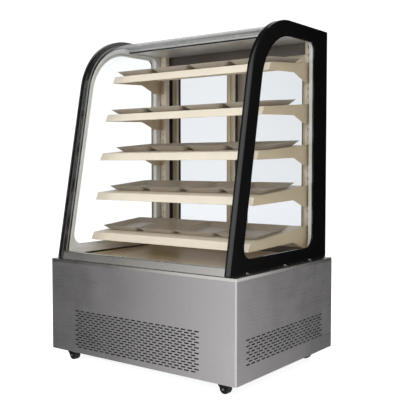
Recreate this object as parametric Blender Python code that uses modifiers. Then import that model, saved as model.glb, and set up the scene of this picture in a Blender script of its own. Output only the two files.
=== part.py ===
"""Curved-front glass display showcase on casters.

A stainless base with louvred panels holds the refrigeration. Above it, two black-bordered side
panels carry a curved front glass, a roof with a lamp, five tilted shelves and two sliding doors.
Units are metres. +X is the right-hand side seen from the customer's side, -Y is the customer's
side, +Z is up. The origin is on the floor, under the middle of the base.
"""

import math

import bmesh
import bpy
from mathutils import Matrix, Vector

# Driving dimensions
WIDTH = 0.900
DEPTH = 0.700
HEIGHT = 1.327
BASE_BOTTOM = 0.050
BASE_TOP = 0.416
TRIM_LIP = 0.012
SHEET = 0.0015
GAP = 0.0003
PAN_TOP = 0.068
DECK_TOP = 0.4235
DECK_INSET = 0.034
DECK_WELL = ((-0.340, -0.270), (0.340, 0.280))

# Side panels, seen from the side: a straight front that leans back, an arc, a flat top
PANEL_OUTER_X = 0.420
PANEL_THICKNESS = 0.024
OUTER_LIP = 0.006
LEAN = math.radians(10.84)
ARC_CENTRE = (0.050, 1.063)
ARC_RADIUS = HEIGHT - ARC_CENTRE[1]
PANEL_REAR_Y = DEPTH / 2
OUTER_WINDOW = {"front": 0.066, "top": 0.058, "rear": 0.112, "bottom_z": 0.467}
OUTER_RADII = (0.038, 0.025, 0.050)
INNER_WINDOW = {"front": 0.037, "top": 0.050, "rear": 0.106, "bottom_z": 0.452}
INNER_RADII = (0.030, 0.020, 0.040)
ARC_STEPS = 14
CORNER_STEPS = 4

# Front glass and roof, between the side panels
INNER_X = PANEL_OUTER_X - PANEL_THICKNESS
SPAN_X = INNER_X - 0.0005
GLASS_INSET = 0.015
GLASS_THICKNESS = 0.006
GLASS_BOTTOM = 0.4305
GLASS_TOP_Y = 0.066
RAIL_TOP = 0.445
RAIL_INSETS = (0.004, 0.030)
ROOF_TOP = 1.3125
ROOF_FLANGE = 0.0065
CEILING = 1.288
CANOPY_FRONT_Y = 0.064
LAMP_POCKET_REAR_Y = 0.108
LAMP_POCKET_TOP = 1.3035
LIP_BOTTOM = 1.284
LAMP_RADIUS = 0.0065
LAMP_LENGTH = 0.740

# Shelves: each front edge follows the glass, and each one rises to the rear
SHELF_HALF_WIDTH = 0.390
SHELF_FIRST_Z = 0.482
SHELF_PITCH = 0.16425
SHELF_FRONT_Y = (-0.184, -0.157, -0.129, -0.095, -0.048)
SHELF_TILT = math.radians(5.0)
SHELF_REAR_Y = 0.236
LIP_RISE = 0.030
LIP_LEAN = 0.014
LIP_RETURN = 0.010
BRACKET_SHEET = 0.002
BRACKET_DROP = 0.022
BRACKET_TAPER_Y = (0.137, 0.222)
BRACKET_TAPER_RISE = 0.009

# Slotted uprights
UPRIGHT_INNER_X = 0.362
UPRIGHT_WIDTH = 0.030
UPRIGHT_FRONT_Y = 0.272
UPRIGHT_DEPTH = 0.028
UPRIGHT_BOTTOM = 0.4240
SLOT_PITCH = SHELF_PITCH / 5
SLOT_SIZE = (0.004, 0.013)
HOOK_HEIGHT = 0.010

# Trays
TRAYS_PER_SHELF = 4
TRAY_SETBACK = (0.046, 0.060, 0.070, 0.008, 0.000)
TRAY_DEPTH = 0.245
TRAY_HEIGHT = 0.0195
TRAY_FLARE = 0.022
TRAY_SHEET = 0.001

# Rear frame and its two sliding doors
REAR_FRAME_Y = (0.3035, 0.3495)
REAR_OPENING_X = 0.366
REAR_OPENING_Z = (0.452, 1.240)
TRACK_WALL = 0.002
TRACK_SHELL = 0.003
DOOR_THICKNESS = 0.016
DOOR_OUTER_X = 0.378
DOOR_OVERLAP_X = 0.044
DOOR_STILE = 0.044
DOOR_Z = (0.424, 1.275)
DOOR_RAIL_Z = (0.490, 1.205)
DOOR_GLASS = 0.005
PULL_SIZE = (0.020, 0.006, 0.100)

# Casters
CASTER_X = 0.375
CASTER_Y = 0.2885
TRAIL = 0.008
WHEEL_RADIUS = 0.019
WHEEL_WIDTH = 0.028
AXLE_RADIUS = 0.003
AXLE_CLEARANCE = 0.0002
FORK_WIDTH = 0.036
FORK_SLOT = 0.0305
FORK_TOP = 0.0472
CROWN_BOTTOM = 0.041
PLATE_BOTTOM = 0.0475
PLATE_HALF = (0.024, 0.021)
CROWN_RADIUS = 0.017
PEDAL_PIVOT = (-0.0270, 0.0370)

# Louvred panels: each plan gives the louvred field's middle and half width, its slots and rows
FRONT_LOUVRES = {
    "middle": -0.0100,
    "half": 0.300,
    "columns": 6,
    "rows": 8,
    "bottom": 0.0840,
    "pitch": 0.0190,
}
SIDE_LOUVRES = {
    "middle": -0.0120,
    "half": 0.285,
    "columns": 5,
    "rows": 5,
    "bottom": 0.1120,
    "pitch": 0.0214,
}
LOUVRE_HEIGHT = 0.005
LOUVRE_FILL = 0.86

# Refrigeration and controls, in the base
COIL_CENTRE = (-0.180, -0.285, 0.185)
COIL_SIZE = (0.260, 0.050, 0.230)
COIL_FINS = 12
FAN_RADIUS = 0.085
FAN_Y = -0.240
FAN_BLADES = 5
COMPRESSOR_CENTRE = (0.150, -0.020)
COMPRESSOR_RADIUS = 0.065
COMPRESSOR_HEIGHT = 0.150
EVAPORATOR_LOW = (-0.260, 0.060, 0.300)
EVAPORATOR_HIGH = (0.260, 0.230, 0.372)
EVAPORATOR_FINS = 20
REAR_PANEL_Y = (0.3440, 0.3455)
CONTROLLER_X = 0.250
SWITCH_X = 0.150
INLET_X = -0.380
CONTROL_Z = 0.360
INLET_Z = 0.120
CONTROLLER_HALF = (0.0355, 0.0140)
CONTROLLER_RIM = 0.0035
SWITCH_HALF = (0.0090, 0.0120)
INLET_HALF = (0.0135, 0.0095)
INLET_RIM = (0.0065, 0.0045)
CUTOUT_CLEARANCE = 0.0005

PARTS = None
TOOLS = None

LOOKS = {
    "stainless": ((0.42, 0.41, 0.41), 0.34, 1.0),
    "bright_steel": ((0.66, 0.65, 0.64), 0.25, 1.0),
    "black_border": ((0.010, 0.010, 0.012), 0.12, 0.0),
    "clear_glass": ((0.90, 0.94, 0.93), 0.03, 0.0),
    "cream_enamel": ((0.78, 0.69, 0.57), 0.45, 0.0),
    "taupe_enamel": ((0.30, 0.23, 0.17), 0.45, 0.0),
    "tray_steel": ((0.09, 0.09, 0.09), 0.35, 0.8),
    "dark_aluminium": ((0.10, 0.09, 0.09), 0.40, 1.0),
    "door_aluminium": ((0.60, 0.57, 0.52), 0.35, 1.0),
    "lamp_diffuser": ((0.95, 0.92, 0.85), 0.30, 0.0),
    "black_rubber": ((0.015, 0.015, 0.015), 0.70, 0.0),
    "black_plastic": ((0.020, 0.020, 0.022), 0.45, 0.0),
    "coil_fins": ((0.55, 0.56, 0.57), 0.40, 1.0),
}


# Scene and materials

def clear_scene():
    """Removes every object."""
    for obj in list(bpy.data.objects):
        bpy.data.objects.remove(obj, do_unlink=True)


def new_collection(name):
    """A collection linked to the scene."""
    group = bpy.data.collections.new(name)
    bpy.context.scene.collection.children.link(group)
    return group


def material(part_name, look):
    """One sub-part's own Principled material, from the table of looks."""
    colour, roughness, metallic = LOOKS[look]
    mat = bpy.data.materials.new(f"{part_name}_{look}")
    mat.use_nodes = True
    shader = mat.node_tree.nodes["Principled BSDF"]
    shader.inputs["Base Color"].default_value = (*colour, 1.0)
    shader.inputs["Roughness"].default_value = roughness
    shader.inputs["Metallic"].default_value = metallic
    if look == "clear_glass":
        shader.inputs["Transmission Weight"].default_value = 1.0
    return mat


# Shapes

def add_part(name, mesh, look):
    """Links a mesh as a named sub-part with its own material."""
    obj = bpy.data.objects.new(name, mesh)
    PARTS.objects.link(obj)
    mesh.materials.clear()
    mesh.materials.append(material(name, look))
    return obj


def add_tool(name, mesh):
    """Links a mesh as a Boolean operand, which isn't part of the object."""
    obj = bpy.data.objects.new(name, mesh)
    TOOLS.objects.link(obj)
    obj.hide_render = True
    obj.display_type = "WIRE"
    return obj


def box_mesh(name, spans, centre):
    """A mesh of boxes, each given by its low and high corners, around the given centre."""
    bm = bmesh.new()
    for low, high in spans:
        size = Vector(high) - Vector(low)
        middle = (Vector(low) + Vector(high)) / 2 - Vector(centre)
        place = Matrix.Translation(middle) @ Matrix.Diagonal((*size, 1.0))
        bmesh.ops.create_cube(bm, size=1.0, matrix=place)
    mesh = bpy.data.meshes.new(name)
    bm.to_mesh(mesh)
    bm.free()
    return mesh


def box(name, low, high, look=None):
    """A box between two corners: a sub-part with a look, or a Boolean operand without one."""
    centre = (Vector(low) + Vector(high)) / 2
    mesh = box_mesh(name, [(low, high)], centre)
    obj = add_part(name, mesh, look) if look else add_tool(name, mesh)
    obj.location = centre
    return obj


def box_tool(name, spans):
    """Separate boxes in one Boolean operand."""
    return add_tool(name, box_mesh(name, spans, (0.0, 0.0, 0.0)))


def outline_mesh(name, outlines, half_thickness):
    """The welded mesh of a filled flat outline, which may have holes, with the given thickness."""
    curve = bpy.data.curves.new(name, "CURVE")
    curve.dimensions = "2D"
    curve.fill_mode = "BOTH"
    curve.extrude = half_thickness
    for outline in outlines:
        spline = curve.splines.new("POLY")
        spline.points.add(len(outline) - 1)
        for point, (u, v) in zip(spline.points, outline):
            point.co = (u, v, 0.0, 1.0)
        spline.use_cyclic_u = True
    guide = bpy.data.objects.new(name, curve)
    TOOLS.objects.link(guide)
    graph = bpy.context.evaluated_depsgraph_get()
    mesh = bpy.data.meshes.new_from_object(guide.evaluated_get(graph))
    bpy.data.objects.remove(guide)
    bm = bmesh.new()
    bm.from_mesh(mesh)
    bmesh.ops.remove_doubles(bm, verts=bm.verts, dist=0.00001)
    bmesh.ops.recalc_face_normals(bm, faces=bm.faces)
    bm.to_mesh(mesh)
    bm.free()
    return mesh


def prism(name, outlines, plane, low, high, look=None):
    """Flat outlines in a plane (YZ, XZ or XY), extruded from low to high along its normal."""
    mesh = outline_mesh(name, outlines, (high - low) / 2)
    obj = add_part(name, mesh, look) if look else add_tool(name, mesh)
    middle = (low + high) / 2
    quarter = math.pi / 2
    if plane == "YZ":
        obj.rotation_euler = (quarter, 0.0, quarter)
        obj.location = (middle, 0.0, 0.0)
    elif plane == "XZ":
        obj.rotation_euler = (quarter, 0.0, 0.0)
        obj.location = (0.0, middle, 0.0)
    else:
        obj.location = (0.0, 0.0, middle)
    return obj


def cylinder(name, radius, length, centre, axis="Z", look=None, sides=24):
    """A capped cylinder along an axis, around its centre."""
    bm = bmesh.new()
    bmesh.ops.create_cone(
        bm, cap_ends=True, segments=sides, radius1=radius, radius2=radius, depth=length
    )
    mesh = bpy.data.meshes.new(name)
    bm.to_mesh(mesh)
    bm.free()
    mesh.shade_smooth()
    mesh.set_sharp_from_angle(angle=math.radians(40.0))
    obj = add_part(name, mesh, look) if look else add_tool(name, mesh)
    turns = {"X": (0.0, math.pi / 2, 0.0), "Y": (math.pi / 2, 0.0, 0.0), "Z": (0.0, 0.0, 0.0)}
    obj.rotation_euler = turns[axis]
    obj.location = centre
    return obj


def turned(name, profile, look, steps=24, closed=False):
    """A profile of (radius, height) points, top to bottom on its outer side, turned about Z."""
    bm = bmesh.new()
    verts = [bm.verts.new((radius, 0.0, height)) for radius, height in profile]
    for first, second in zip(verts, verts[1:]):
        bm.edges.new((first, second))
    if closed:
        bm.edges.new((verts[-1], verts[0]))
    mesh = bpy.data.meshes.new(name)
    bm.to_mesh(mesh)
    bm.free()
    obj = add_part(name, mesh, look)
    screw = obj.modifiers.new("Turn", "SCREW")
    screw.steps = steps
    screw.render_steps = steps
    screw.use_merge_vertices = True
    screw.merge_threshold = 0.00001
    screw.use_smooth_shade = True
    return obj


def combine(obj, other, operation):
    """Cuts or joins a sub-part with a Boolean operand."""
    step = obj.modifiers.new(f"{operation.title()} {other.name}", "BOOLEAN")
    step.operation = operation
    step.solver = "EXACT"
    step.object = other
    return obj


def cut(obj, other):
    """Cuts the operand's shape out of the sub-part."""
    return combine(obj, other, "DIFFERENCE")


def fuse(obj, other):
    """Joins the operand's shape to the sub-part."""
    return combine(obj, other, "UNION")


def rounded(corners, steps):
    """An outline through (u, v, radius) corners, with an arc in each corner that has a radius."""
    points = []
    count = len(corners)
    for i, (u, v, radius) in enumerate(corners):
        here = Vector((u, v))
        if radius <= 0.0:
            points.append(tuple(here))
            continue
        back = (Vector(corners[i - 1][:2]) - here).normalized()
        ahead = (Vector(corners[(i + 1) % count][:2]) - here).normalized()
        half = back.angle(ahead) / 2
        centre = here + (back + ahead).normalized() * radius / math.sin(half)
        start = here + back * radius / math.tan(half) - centre
        end = here + ahead * radius / math.tan(half) - centre
        turn = start.angle_signed(end)
        arc_steps = ARC_STEPS if radius > 0.1 else steps
        for step in range(arc_steps + 1):
            points.append(tuple(centre + Matrix.Rotation(-turn * step / arc_steps, 2) @ start))
    return points


# The side profile, which the side panels, the front glass and its rail share

def front_line_y(inset, z):
    """Y of the leaning front line at a height, moved in from the panel's edge by the inset."""
    radius = ARC_RADIUS - inset
    touch_y = ARC_CENTRE[0] - radius * math.cos(LEAN)
    touch_z = ARC_CENTRE[1] + radius * math.sin(LEAN)
    return touch_y + (z - touch_z) * math.tan(LEAN)


def side_outline(front, top, rear, bottom_z, radii):
    """The side panel's outline, moved in by the front, top and rear insets.

    radii are those of the lower front, upper rear and lower rear corners.
    """
    top_z = HEIGHT - top
    rear_y = PANEL_REAR_Y - rear
    corners = [
        (front_line_y(front, bottom_z), bottom_z, radii[0]),
        (front_line_y(front, top_z), top_z, ARC_RADIUS - top),
        (rear_y, top_z, radii[1]),
        (rear_y, bottom_z, radii[2]),
    ]
    return rounded(corners, CORNER_STEPS)


def glass_profile(inset, bottom_z, top_y):
    """Points up the leaning line and round the arc, ending on the flat top at top_y."""
    radius = ARC_RADIUS - inset
    start = math.pi - LEAN
    points = [(front_line_y(inset, bottom_z), bottom_z)]
    for step in range(ARC_STEPS + 1):
        angle = start + (math.pi / 2 - start) * step / ARC_STEPS
        reach_y = ARC_CENTRE[0] + radius * math.cos(angle)
        reach_z = ARC_CENTRE[1] + radius * math.sin(angle)
        points.append((reach_y, reach_z))
    points.append((top_y, points[-1][1]))
    return points


# Base

def louvre_spans(plan, across, lower, upper):
    """Slots of a louvred panel, as boxes through it.

    across is the axis the slots run along, X or Y, and lower and upper bound the sheet.
    """
    pitch = 2 * plan["half"] / plan["columns"]
    spans = []
    for row in range(plan["rows"]):
        low_z = plan["bottom"] + row * plan["pitch"] - LOUVRE_HEIGHT / 2
        for column in range(plan["columns"]):
            middle = plan["middle"] - plan["half"] + (column + 0.5) * pitch
            start = middle - pitch * LOUVRE_FILL / 2
            end = middle + pitch * LOUVRE_FILL / 2
            if across == "X":
                span = ((start, lower, low_z), (end, upper, low_z + LOUVRE_HEIGHT))
            else:
                span = ((lower, start, low_z), (upper, end, low_z + LOUVRE_HEIGHT))
            spans.append(span)
    return spans


def build_base_pan():
    """The bottom tray of the base, with a plate for each caster under it."""
    half_x = WIDTH / 2 - SHEET - GAP
    half_y = DEPTH / 2 - SHEET - GAP
    rear = REAR_PANEL_Y[0] - GAP
    pan = box("base_pan", (-half_x, -half_y, BASE_BOTTOM), (half_x, rear, PAN_TOP), "stainless")
    inner = box(
        "base_pan_inside",
        (-half_x + SHEET, -half_y + SHEET, BASE_BOTTOM + SHEET),
        (half_x - SHEET, rear - SHEET, PAN_TOP + SHEET),
    )
    cut(pan, inner)
    plates = []
    for x in (-CASTER_X, CASTER_X):
        for y in (-CASTER_Y, CASTER_Y):
            low = (x - PLATE_HALF[0], y - PLATE_HALF[1], PLATE_BOTTOM)
            high = (x + PLATE_HALF[0], y + PLATE_HALF[1], BASE_BOTTOM + SHEET / 2)
            plates.append((low, high))
    fuse(pan, box_tool("caster_plates", plates))


def build_base_panels():
    """The louvred front and side panels and the rear panel."""
    top = BASE_TOP - TRIM_LIP - GAP
    half_x = WIDTH / 2
    front_y = -DEPTH / 2
    front = box(
        "base_front_panel",
        (-half_x, front_y, BASE_BOTTOM),
        (half_x, front_y + SHEET, top),
        "stainless",
    )
    spans = louvre_spans(FRONT_LOUVRES, "X", front_y - 0.01, front_y + 0.01)
    cut(front, box_tool("front_louvres", spans))
    for side, sign in (("left", -1), ("right", 1)):
        faces = sorted((sign * half_x, sign * (half_x - SHEET)))
        panel = box(
            f"base_{side}_panel",
            (faces[0], front_y + SHEET + GAP, BASE_BOTTOM),
            (faces[1], DEPTH / 2, top),
            "stainless",
        )
        spans = louvre_spans(SIDE_LOUVRES, "Y", faces[0] - 0.01, faces[1] + 0.01)
        cut(panel, box_tool(f"{side}_louvres", spans))
    build_rear_panel(top)


def build_rear_panel(top):
    """The rear panel, with vents and the cut-outs of the controls and the power inlet."""
    half_x = WIDTH / 2 - SHEET - GAP
    panel = box(
        "base_rear_panel",
        (-half_x, REAR_PANEL_Y[0], BASE_BOTTOM),
        (half_x, REAR_PANEL_Y[1], top),
        "stainless",
    )
    low_y = REAR_PANEL_Y[0] - 0.01
    high_y = REAR_PANEL_Y[1] + 0.01
    spans = louvre_spans(SIDE_LOUVRES, "X", low_y, high_y)
    openings = (
        (CONTROLLER_X, CONTROL_Z, CONTROLLER_HALF),
        (SWITCH_X, CONTROL_Z, (SWITCH_HALF[0] + CUTOUT_CLEARANCE, SWITCH_HALF[1] + CUTOUT_CLEARANCE * 2)),
        (INLET_X, INLET_Z, INLET_HALF),
    )
    for x, z, (body_w, body_h) in openings:
        half_w = body_w + CUTOUT_CLEARANCE
        half_h = body_h + CUTOUT_CLEARANCE
        spans.append(((x - half_w, low_y, z - half_h), (x + half_w, high_y, z + half_h)))
    cut(panel, box_tool("rear_openings", spans))


def build_deck():
    """The trim frame round the top of the base, and the display floor in it."""
    half_x = WIDTH / 2
    half_y = DEPTH / 2
    trim = box(
        "deck_trim",
        (-half_x, -half_y, BASE_TOP - TRIM_LIP),
        (half_x, half_y, BASE_TOP),
        "bright_steel",
    )
    under = box(
        "deck_trim_inside",
        (-half_x + SHEET, -half_y + SHEET, BASE_TOP - 2 * TRIM_LIP),
        (half_x - SHEET, half_y - SHEET, BASE_TOP - SHEET),
    )
    well_low = (*DECK_WELL[0], BASE_TOP - 2 * TRIM_LIP)
    well_high = (*DECK_WELL[1], BASE_TOP + TRIM_LIP)
    well = box("deck_trim_well", well_low, well_high)
    cut(cut(trim, under), well)
    front_y = front_line_y(DECK_INSET, BASE_TOP)
    rear_y = REAR_FRAME_Y[0] - GAP
    edge_x = SPAN_X
    low_z = BASE_TOP + GAP
    deck = box("display_deck", (-edge_x, front_y, low_z), (edge_x, rear_y, DECK_TOP), "stainless")
    hollow = box(
        "display_deck_inside",
        (-edge_x + SHEET, front_y + SHEET, low_z + SHEET),
        (edge_x - SHEET, rear_y - SHEET, DECK_TOP + SHEET),
    )
    cut(deck, hollow)


# Casters

def build_caster(tag, x, y, braked):
    """A swivel fork with its axle, a wheel on the axle, and a brake pedal on a braked caster."""
    axle_x = x - TRAIL
    leg = [
        (x + 0.010, FORK_TOP - 0.0035),
        (x + 0.010, 0.0380),
        (axle_x + 0.0060, 0.0115),
        (axle_x - 0.0060, 0.0115),
        (x + PEDAL_PIVOT[0] - 0.0045, PEDAL_PIVOT[1] - 0.0030),
        (x + PEDAL_PIVOT[0] - 0.0045, FORK_TOP - 0.0035),
    ]
    fork = prism(
        f"caster_fork_{tag}",
        [leg],
        "XZ",
        y - FORK_WIDTH / 2,
        y + FORK_WIDTH / 2,
        "bright_steel",
    )
    slot_low = (x - 0.060, y - FORK_SLOT / 2, 0.0)
    slot_high = (x + 0.040, y + FORK_SLOT / 2, CROWN_BOTTOM)
    cut(fork, box(f"fork_slot_{tag}", slot_low, slot_high))
    crown_height = FORK_TOP - CROWN_BOTTOM
    crown_middle = (x, y, (FORK_TOP + CROWN_BOTTOM) / 2)
    fuse(fork, cylinder(f"crown_{tag}", CROWN_RADIUS, crown_height, crown_middle))
    axle_length = FORK_WIDTH + 0.002
    axle_middle = (axle_x, y, WHEEL_RADIUS)
    axle = cylinder(f"axle_{tag}", AXLE_RADIUS, axle_length, axle_middle, "Y", sides=16)
    fuse(fork, axle)
    build_wheel(tag, axle_middle)
    if braked:
        build_pedal(tag, x, y)


def build_wheel(tag, centre):
    """A wheel with a rounded tread and a running clearance on its axle."""
    half = WHEEL_WIDTH / 2
    bore = AXLE_RADIUS + AXLE_CLEARANCE
    profile = [
        (bore, half),
        (WHEEL_RADIUS - 0.0030, half),
        (WHEEL_RADIUS - 0.0008, half - 0.0022),
        (WHEEL_RADIUS, half - 0.0045),
        (WHEEL_RADIUS, -half + 0.0045),
        (WHEEL_RADIUS - 0.0008, -half + 0.0022),
        (WHEEL_RADIUS - 0.0030, -half),
        (bore, -half),
    ]
    wheel = turned(f"caster_wheel_{tag}", profile, "black_rubber", steps=24, closed=True)
    wheel.rotation_euler = (math.pi / 2, 0.0, 0.0)
    wheel.location = centre


def build_pedal(tag, x, y):
    """The brake lever at the trailing end of the fork, on its pivot."""
    pivot_x = x + PEDAL_PIVOT[0]
    pivot_z = PEDAL_PIVOT[1]
    outline = [
        (0.0030, 0.0020),
        (0.0030, -0.0015),
        (-0.0060, -0.0020),
        (-0.0165, 0.0015),
        (-0.0165, 0.0045),
        (-0.0060, 0.0025),
    ]
    pedal = prism(
        f"brake_pedal_{tag}", [outline], "XZ", -0.0085, 0.0085, "black_plastic"
    )
    pedal.location = (pivot_x, y, pivot_z)


# Glazed upper case

def build_side_panels():
    """Each side panel: a black-bordered frame with a stepped window, and its pane."""
    outline = side_outline(0.0, 0.0, 0.0, BASE_TOP + GAP, (0.0, 0.0, 0.0))
    window = side_outline(**OUTER_WINDOW, radii=OUTER_RADII)
    inner_window = side_outline(**INNER_WINDOW, radii=INNER_RADII)
    pane_edge = {place: value + GAP for place, value in OUTER_WINDOW.items()}
    pane = side_outline(**pane_edge, radii=OUTER_RADII)
    for side, sign in (("left", -1), ("right", 1)):
        step_x = PANEL_OUTER_X - OUTER_LIP
        outer = sorted((sign * PANEL_OUTER_X, sign * step_x))
        inner = sorted((sign * (step_x + 0.0005), sign * INNER_X))
        frame = prism(f"side_frame_{side}", [outline, window], "YZ", *outer, "black_border")
        fuse(frame, prism(f"spacer_{side}", [outline, inner_window], "YZ", *inner))
        glass = sorted((sign * (PANEL_OUTER_X - GAP), sign * (step_x + 0.001)))
        prism(f"side_glass_{side}", [pane], "YZ", *glass, "clear_glass")


def build_front_glass():
    """The curved front glass and the rail that holds its lower edge."""
    outer = glass_profile(GLASS_INSET, GLASS_BOTTOM, GLASS_TOP_Y)
    inner = glass_profile(GLASS_INSET + GLASS_THICKNESS, GLASS_BOTTOM, GLASS_TOP_Y)
    prism("front_glass", [outer + inner[::-1]], "YZ", -SPAN_X, SPAN_X, "clear_glass")
    groove = (GLASS_INSET - GAP, GLASS_INSET + GLASS_THICKNESS + GAP)
    groove_z = GLASS_BOTTOM - GAP
    low_z = BASE_TOP + GAP
    face, back = RAIL_INSETS
    rail = [
        (front_line_y(face, low_z), low_z),
        (front_line_y(face, RAIL_TOP), RAIL_TOP),
        (front_line_y(groove[0], RAIL_TOP), RAIL_TOP),
        (front_line_y(groove[0], groove_z), groove_z),
        (front_line_y(groove[1], groove_z), groove_z),
        (front_line_y(groove[1], RAIL_TOP), RAIL_TOP),
        (front_line_y(back, RAIL_TOP), RAIL_TOP),
        (front_line_y(back, low_z), low_z),
    ]
    prism("front_glass_rail", [rail], "YZ", -SPAN_X, SPAN_X, "bright_steel")


def sheet_outline(path, thickness):
    """A closed outline of a folded sheet that lies to the right of an open path of bends."""
    count = len(path)
    offset = []
    for i, point in enumerate(path):
        here = Vector(point)
        before = Vector(path[max(i - 1, 0)])
        after = Vector(path[min(i + 1, count - 1)])
        into = (here - before).normalized() if i else (after - here).normalized()
        out = (after - here).normalized() if i < count - 1 else into
        right_in = Vector((into.y, -into.x))
        right_out = Vector((out.y, -out.x))
        both = right_in + right_out
        offset.append(tuple(here + both * (thickness / (1.0 + right_in.dot(right_out)))))
    return [tuple(p) for p in path] + offset[::-1]


def build_top():
    """The roof, the ceiling sheet with its lamp pocket, and the lamp."""
    low = (-SPAN_X, GLASS_TOP_Y + 0.0015, ROOF_TOP - ROOF_FLANGE)
    roof = box("roof_panel", low, (SPAN_X, PANEL_REAR_Y, ROOF_TOP), "dark_aluminium")
    under = box(
        "roof_inside",
        (-SPAN_X + SHEET, low[1] + SHEET, ROOF_TOP - 2 * ROOF_FLANGE),
        (SPAN_X - SHEET, PANEL_REAR_Y - SHEET, ROOF_TOP - SHEET),
    )
    cut(roof, under)
    path = [
        (CANOPY_FRONT_Y, LIP_BOTTOM),
        (CANOPY_FRONT_Y, LAMP_POCKET_TOP),
        (LAMP_POCKET_REAR_Y, LAMP_POCKET_TOP),
        (LAMP_POCKET_REAR_Y, CEILING),
        (REAR_FRAME_Y[0] - 0.001, CEILING),
    ]
    prism("light_canopy", [sheet_outline(path, SHEET)], "YZ", -SPAN_X, SPAN_X, "bright_steel")
    middle_y = (CANOPY_FRONT_Y + LAMP_POCKET_REAR_Y) / 2
    lamp_z = LIP_BOTTOM + LAMP_RADIUS + 0.002
    lamp_middle = (0.0, middle_y, lamp_z)
    cylinder("lamp_tube", LAMP_RADIUS, LAMP_LENGTH, lamp_middle, "X", "lamp_diffuser", 16)


# Shelves

def shelf_z(tier):
    """Height of a shelf's lower front edge; tiers count from 0."""
    return SHELF_FIRST_Z + tier * SHELF_PITCH


def shelf_top(tier, y):
    """Height of a shelf's upper face at a depth."""
    front_y = SHELF_FRONT_Y[tier] + LIP_LEAN
    return shelf_z(tier) + LIP_RISE + (y - front_y) * math.tan(SHELF_TILT)


def build_shelf(tier):
    """A folded shelf: a leaning front lip with a return, the tray surface and a rear fold."""
    front_y = SHELF_FRONT_Y[tier]
    low_z = shelf_z(tier)
    path = [
        (front_y + LIP_RETURN, low_z),
        (front_y, low_z),
        (front_y + LIP_LEAN, shelf_top(tier, front_y + LIP_LEAN)),
        (SHELF_REAR_Y, shelf_top(tier, SHELF_REAR_Y)),
        (SHELF_REAR_Y, shelf_top(tier, SHELF_REAR_Y) - 0.018),
    ]
    half = SHELF_HALF_WIDTH - BRACKET_SHEET - GAP
    outline = sheet_outline(path, SHEET)
    prism(f"shelf_{tier + 1}", [outline], "YZ", -half, half, "cream_enamel")


def build_bracket(tier, side, sign):
    """A side bracket: a tapered arm, and a rear flange whose hooks enter the upright's slots."""
    front_y = SHELF_FRONT_Y[tier]
    low_z = shelf_z(tier)
    rear_y = UPRIGHT_FRONT_Y - GAP
    top_y = front_y + LIP_LEAN
    arm_end_y = rear_y - BRACKET_SHEET / 2
    arm = [
        (front_y, low_z),
        (top_y, shelf_top(tier, top_y)),
        (arm_end_y, shelf_top(tier, arm_end_y)),
        (arm_end_y, low_z - BRACKET_DROP),
        (BRACKET_TAPER_Y[1], low_z - BRACKET_DROP),
        (BRACKET_TAPER_Y[0], low_z + BRACKET_TAPER_RISE),
    ]
    faces = sorted((sign * SHELF_HALF_WIDTH, sign * (SHELF_HALF_WIDTH - BRACKET_SHEET)))
    name = f"shelf_bracket_{tier + 1}_{side}"
    bracket = prism(name, [arm], "YZ", *faces, "taupe_enamel")
    reach = sorted((sign * (UPRIGHT_INNER_X + 0.011), sign * (SHELF_HALF_WIDTH - 0.001)))
    flange_low = (reach[0], rear_y - BRACKET_SHEET, low_z - BRACKET_DROP + 0.001)
    flange_high = (reach[1], rear_y, shelf_top(tier, rear_y) - 0.002)
    fuse(bracket, box(f"flange_{tier + 1}_{side}", flange_low, flange_high))
    slot_x = sign * (UPRIGHT_INNER_X + UPRIGHT_WIDTH / 2)
    hooks = []
    for centre_z in hook_heights(tier):
        low = (slot_x - 0.001, rear_y - BRACKET_SHEET * 0.7, centre_z - HOOK_HEIGHT / 2)
        high = (slot_x + 0.001, UPRIGHT_FRONT_Y + 0.008, centre_z + HOOK_HEIGHT / 2)
        hooks.append((low, high))
    fuse(bracket, box_tool(f"hooks_{tier + 1}_{side}", hooks))


def hook_heights(tier):
    """Heights of a bracket's two hooks, one slot pitch apart."""
    lower = shelf_z(tier) - 0.008
    return (lower, lower + SLOT_PITCH)


def build_trays(tier):
    """The row of shallow flared trays on a shelf, joined along their rims."""
    rim_front = SHELF_FRONT_Y[tier] + LIP_LEAN + TRAY_SETBACK[tier]
    width = (2 * SHELF_HALF_WIDTH - 0.006) / TRAYS_PER_SHELF
    bm = bmesh.new()
    bmesh.ops.create_grid(bm, x_segments=TRAYS_PER_SHELF, y_segments=1, size=0.5)
    scale = Matrix.Diagonal((width * TRAYS_PER_SHELF, TRAY_DEPTH, 1.0, 1.0))
    bmesh.ops.transform(bm, matrix=scale, verts=bm.verts)
    bmesh.ops.inset_individual(
        bm, faces=list(bm.faces), thickness=TRAY_FLARE, depth=-TRAY_HEIGHT, use_even_offset=True
    )
    mesh = bpy.data.meshes.new(f"tray_row_{tier + 1}")
    bm.to_mesh(mesh)
    bm.free()
    row = add_part(f"tray_row_{tier + 1}", mesh, "tray_steel")
    wall = row.modifiers.new("Sheet", "SOLIDIFY")
    wall.thickness = TRAY_SHEET
    wall.offset = 1.0
    middle_y = rim_front + TRAY_DEPTH * math.cos(SHELF_TILT) / 2
    lift = TRAY_HEIGHT + 0.0006
    row.rotation_euler = (SHELF_TILT, 0.0, 0.0)
    row.location = (
        0.0,
        middle_y - lift * math.sin(SHELF_TILT),
        shelf_top(tier, middle_y) + lift * math.cos(SHELF_TILT),
    )


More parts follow.
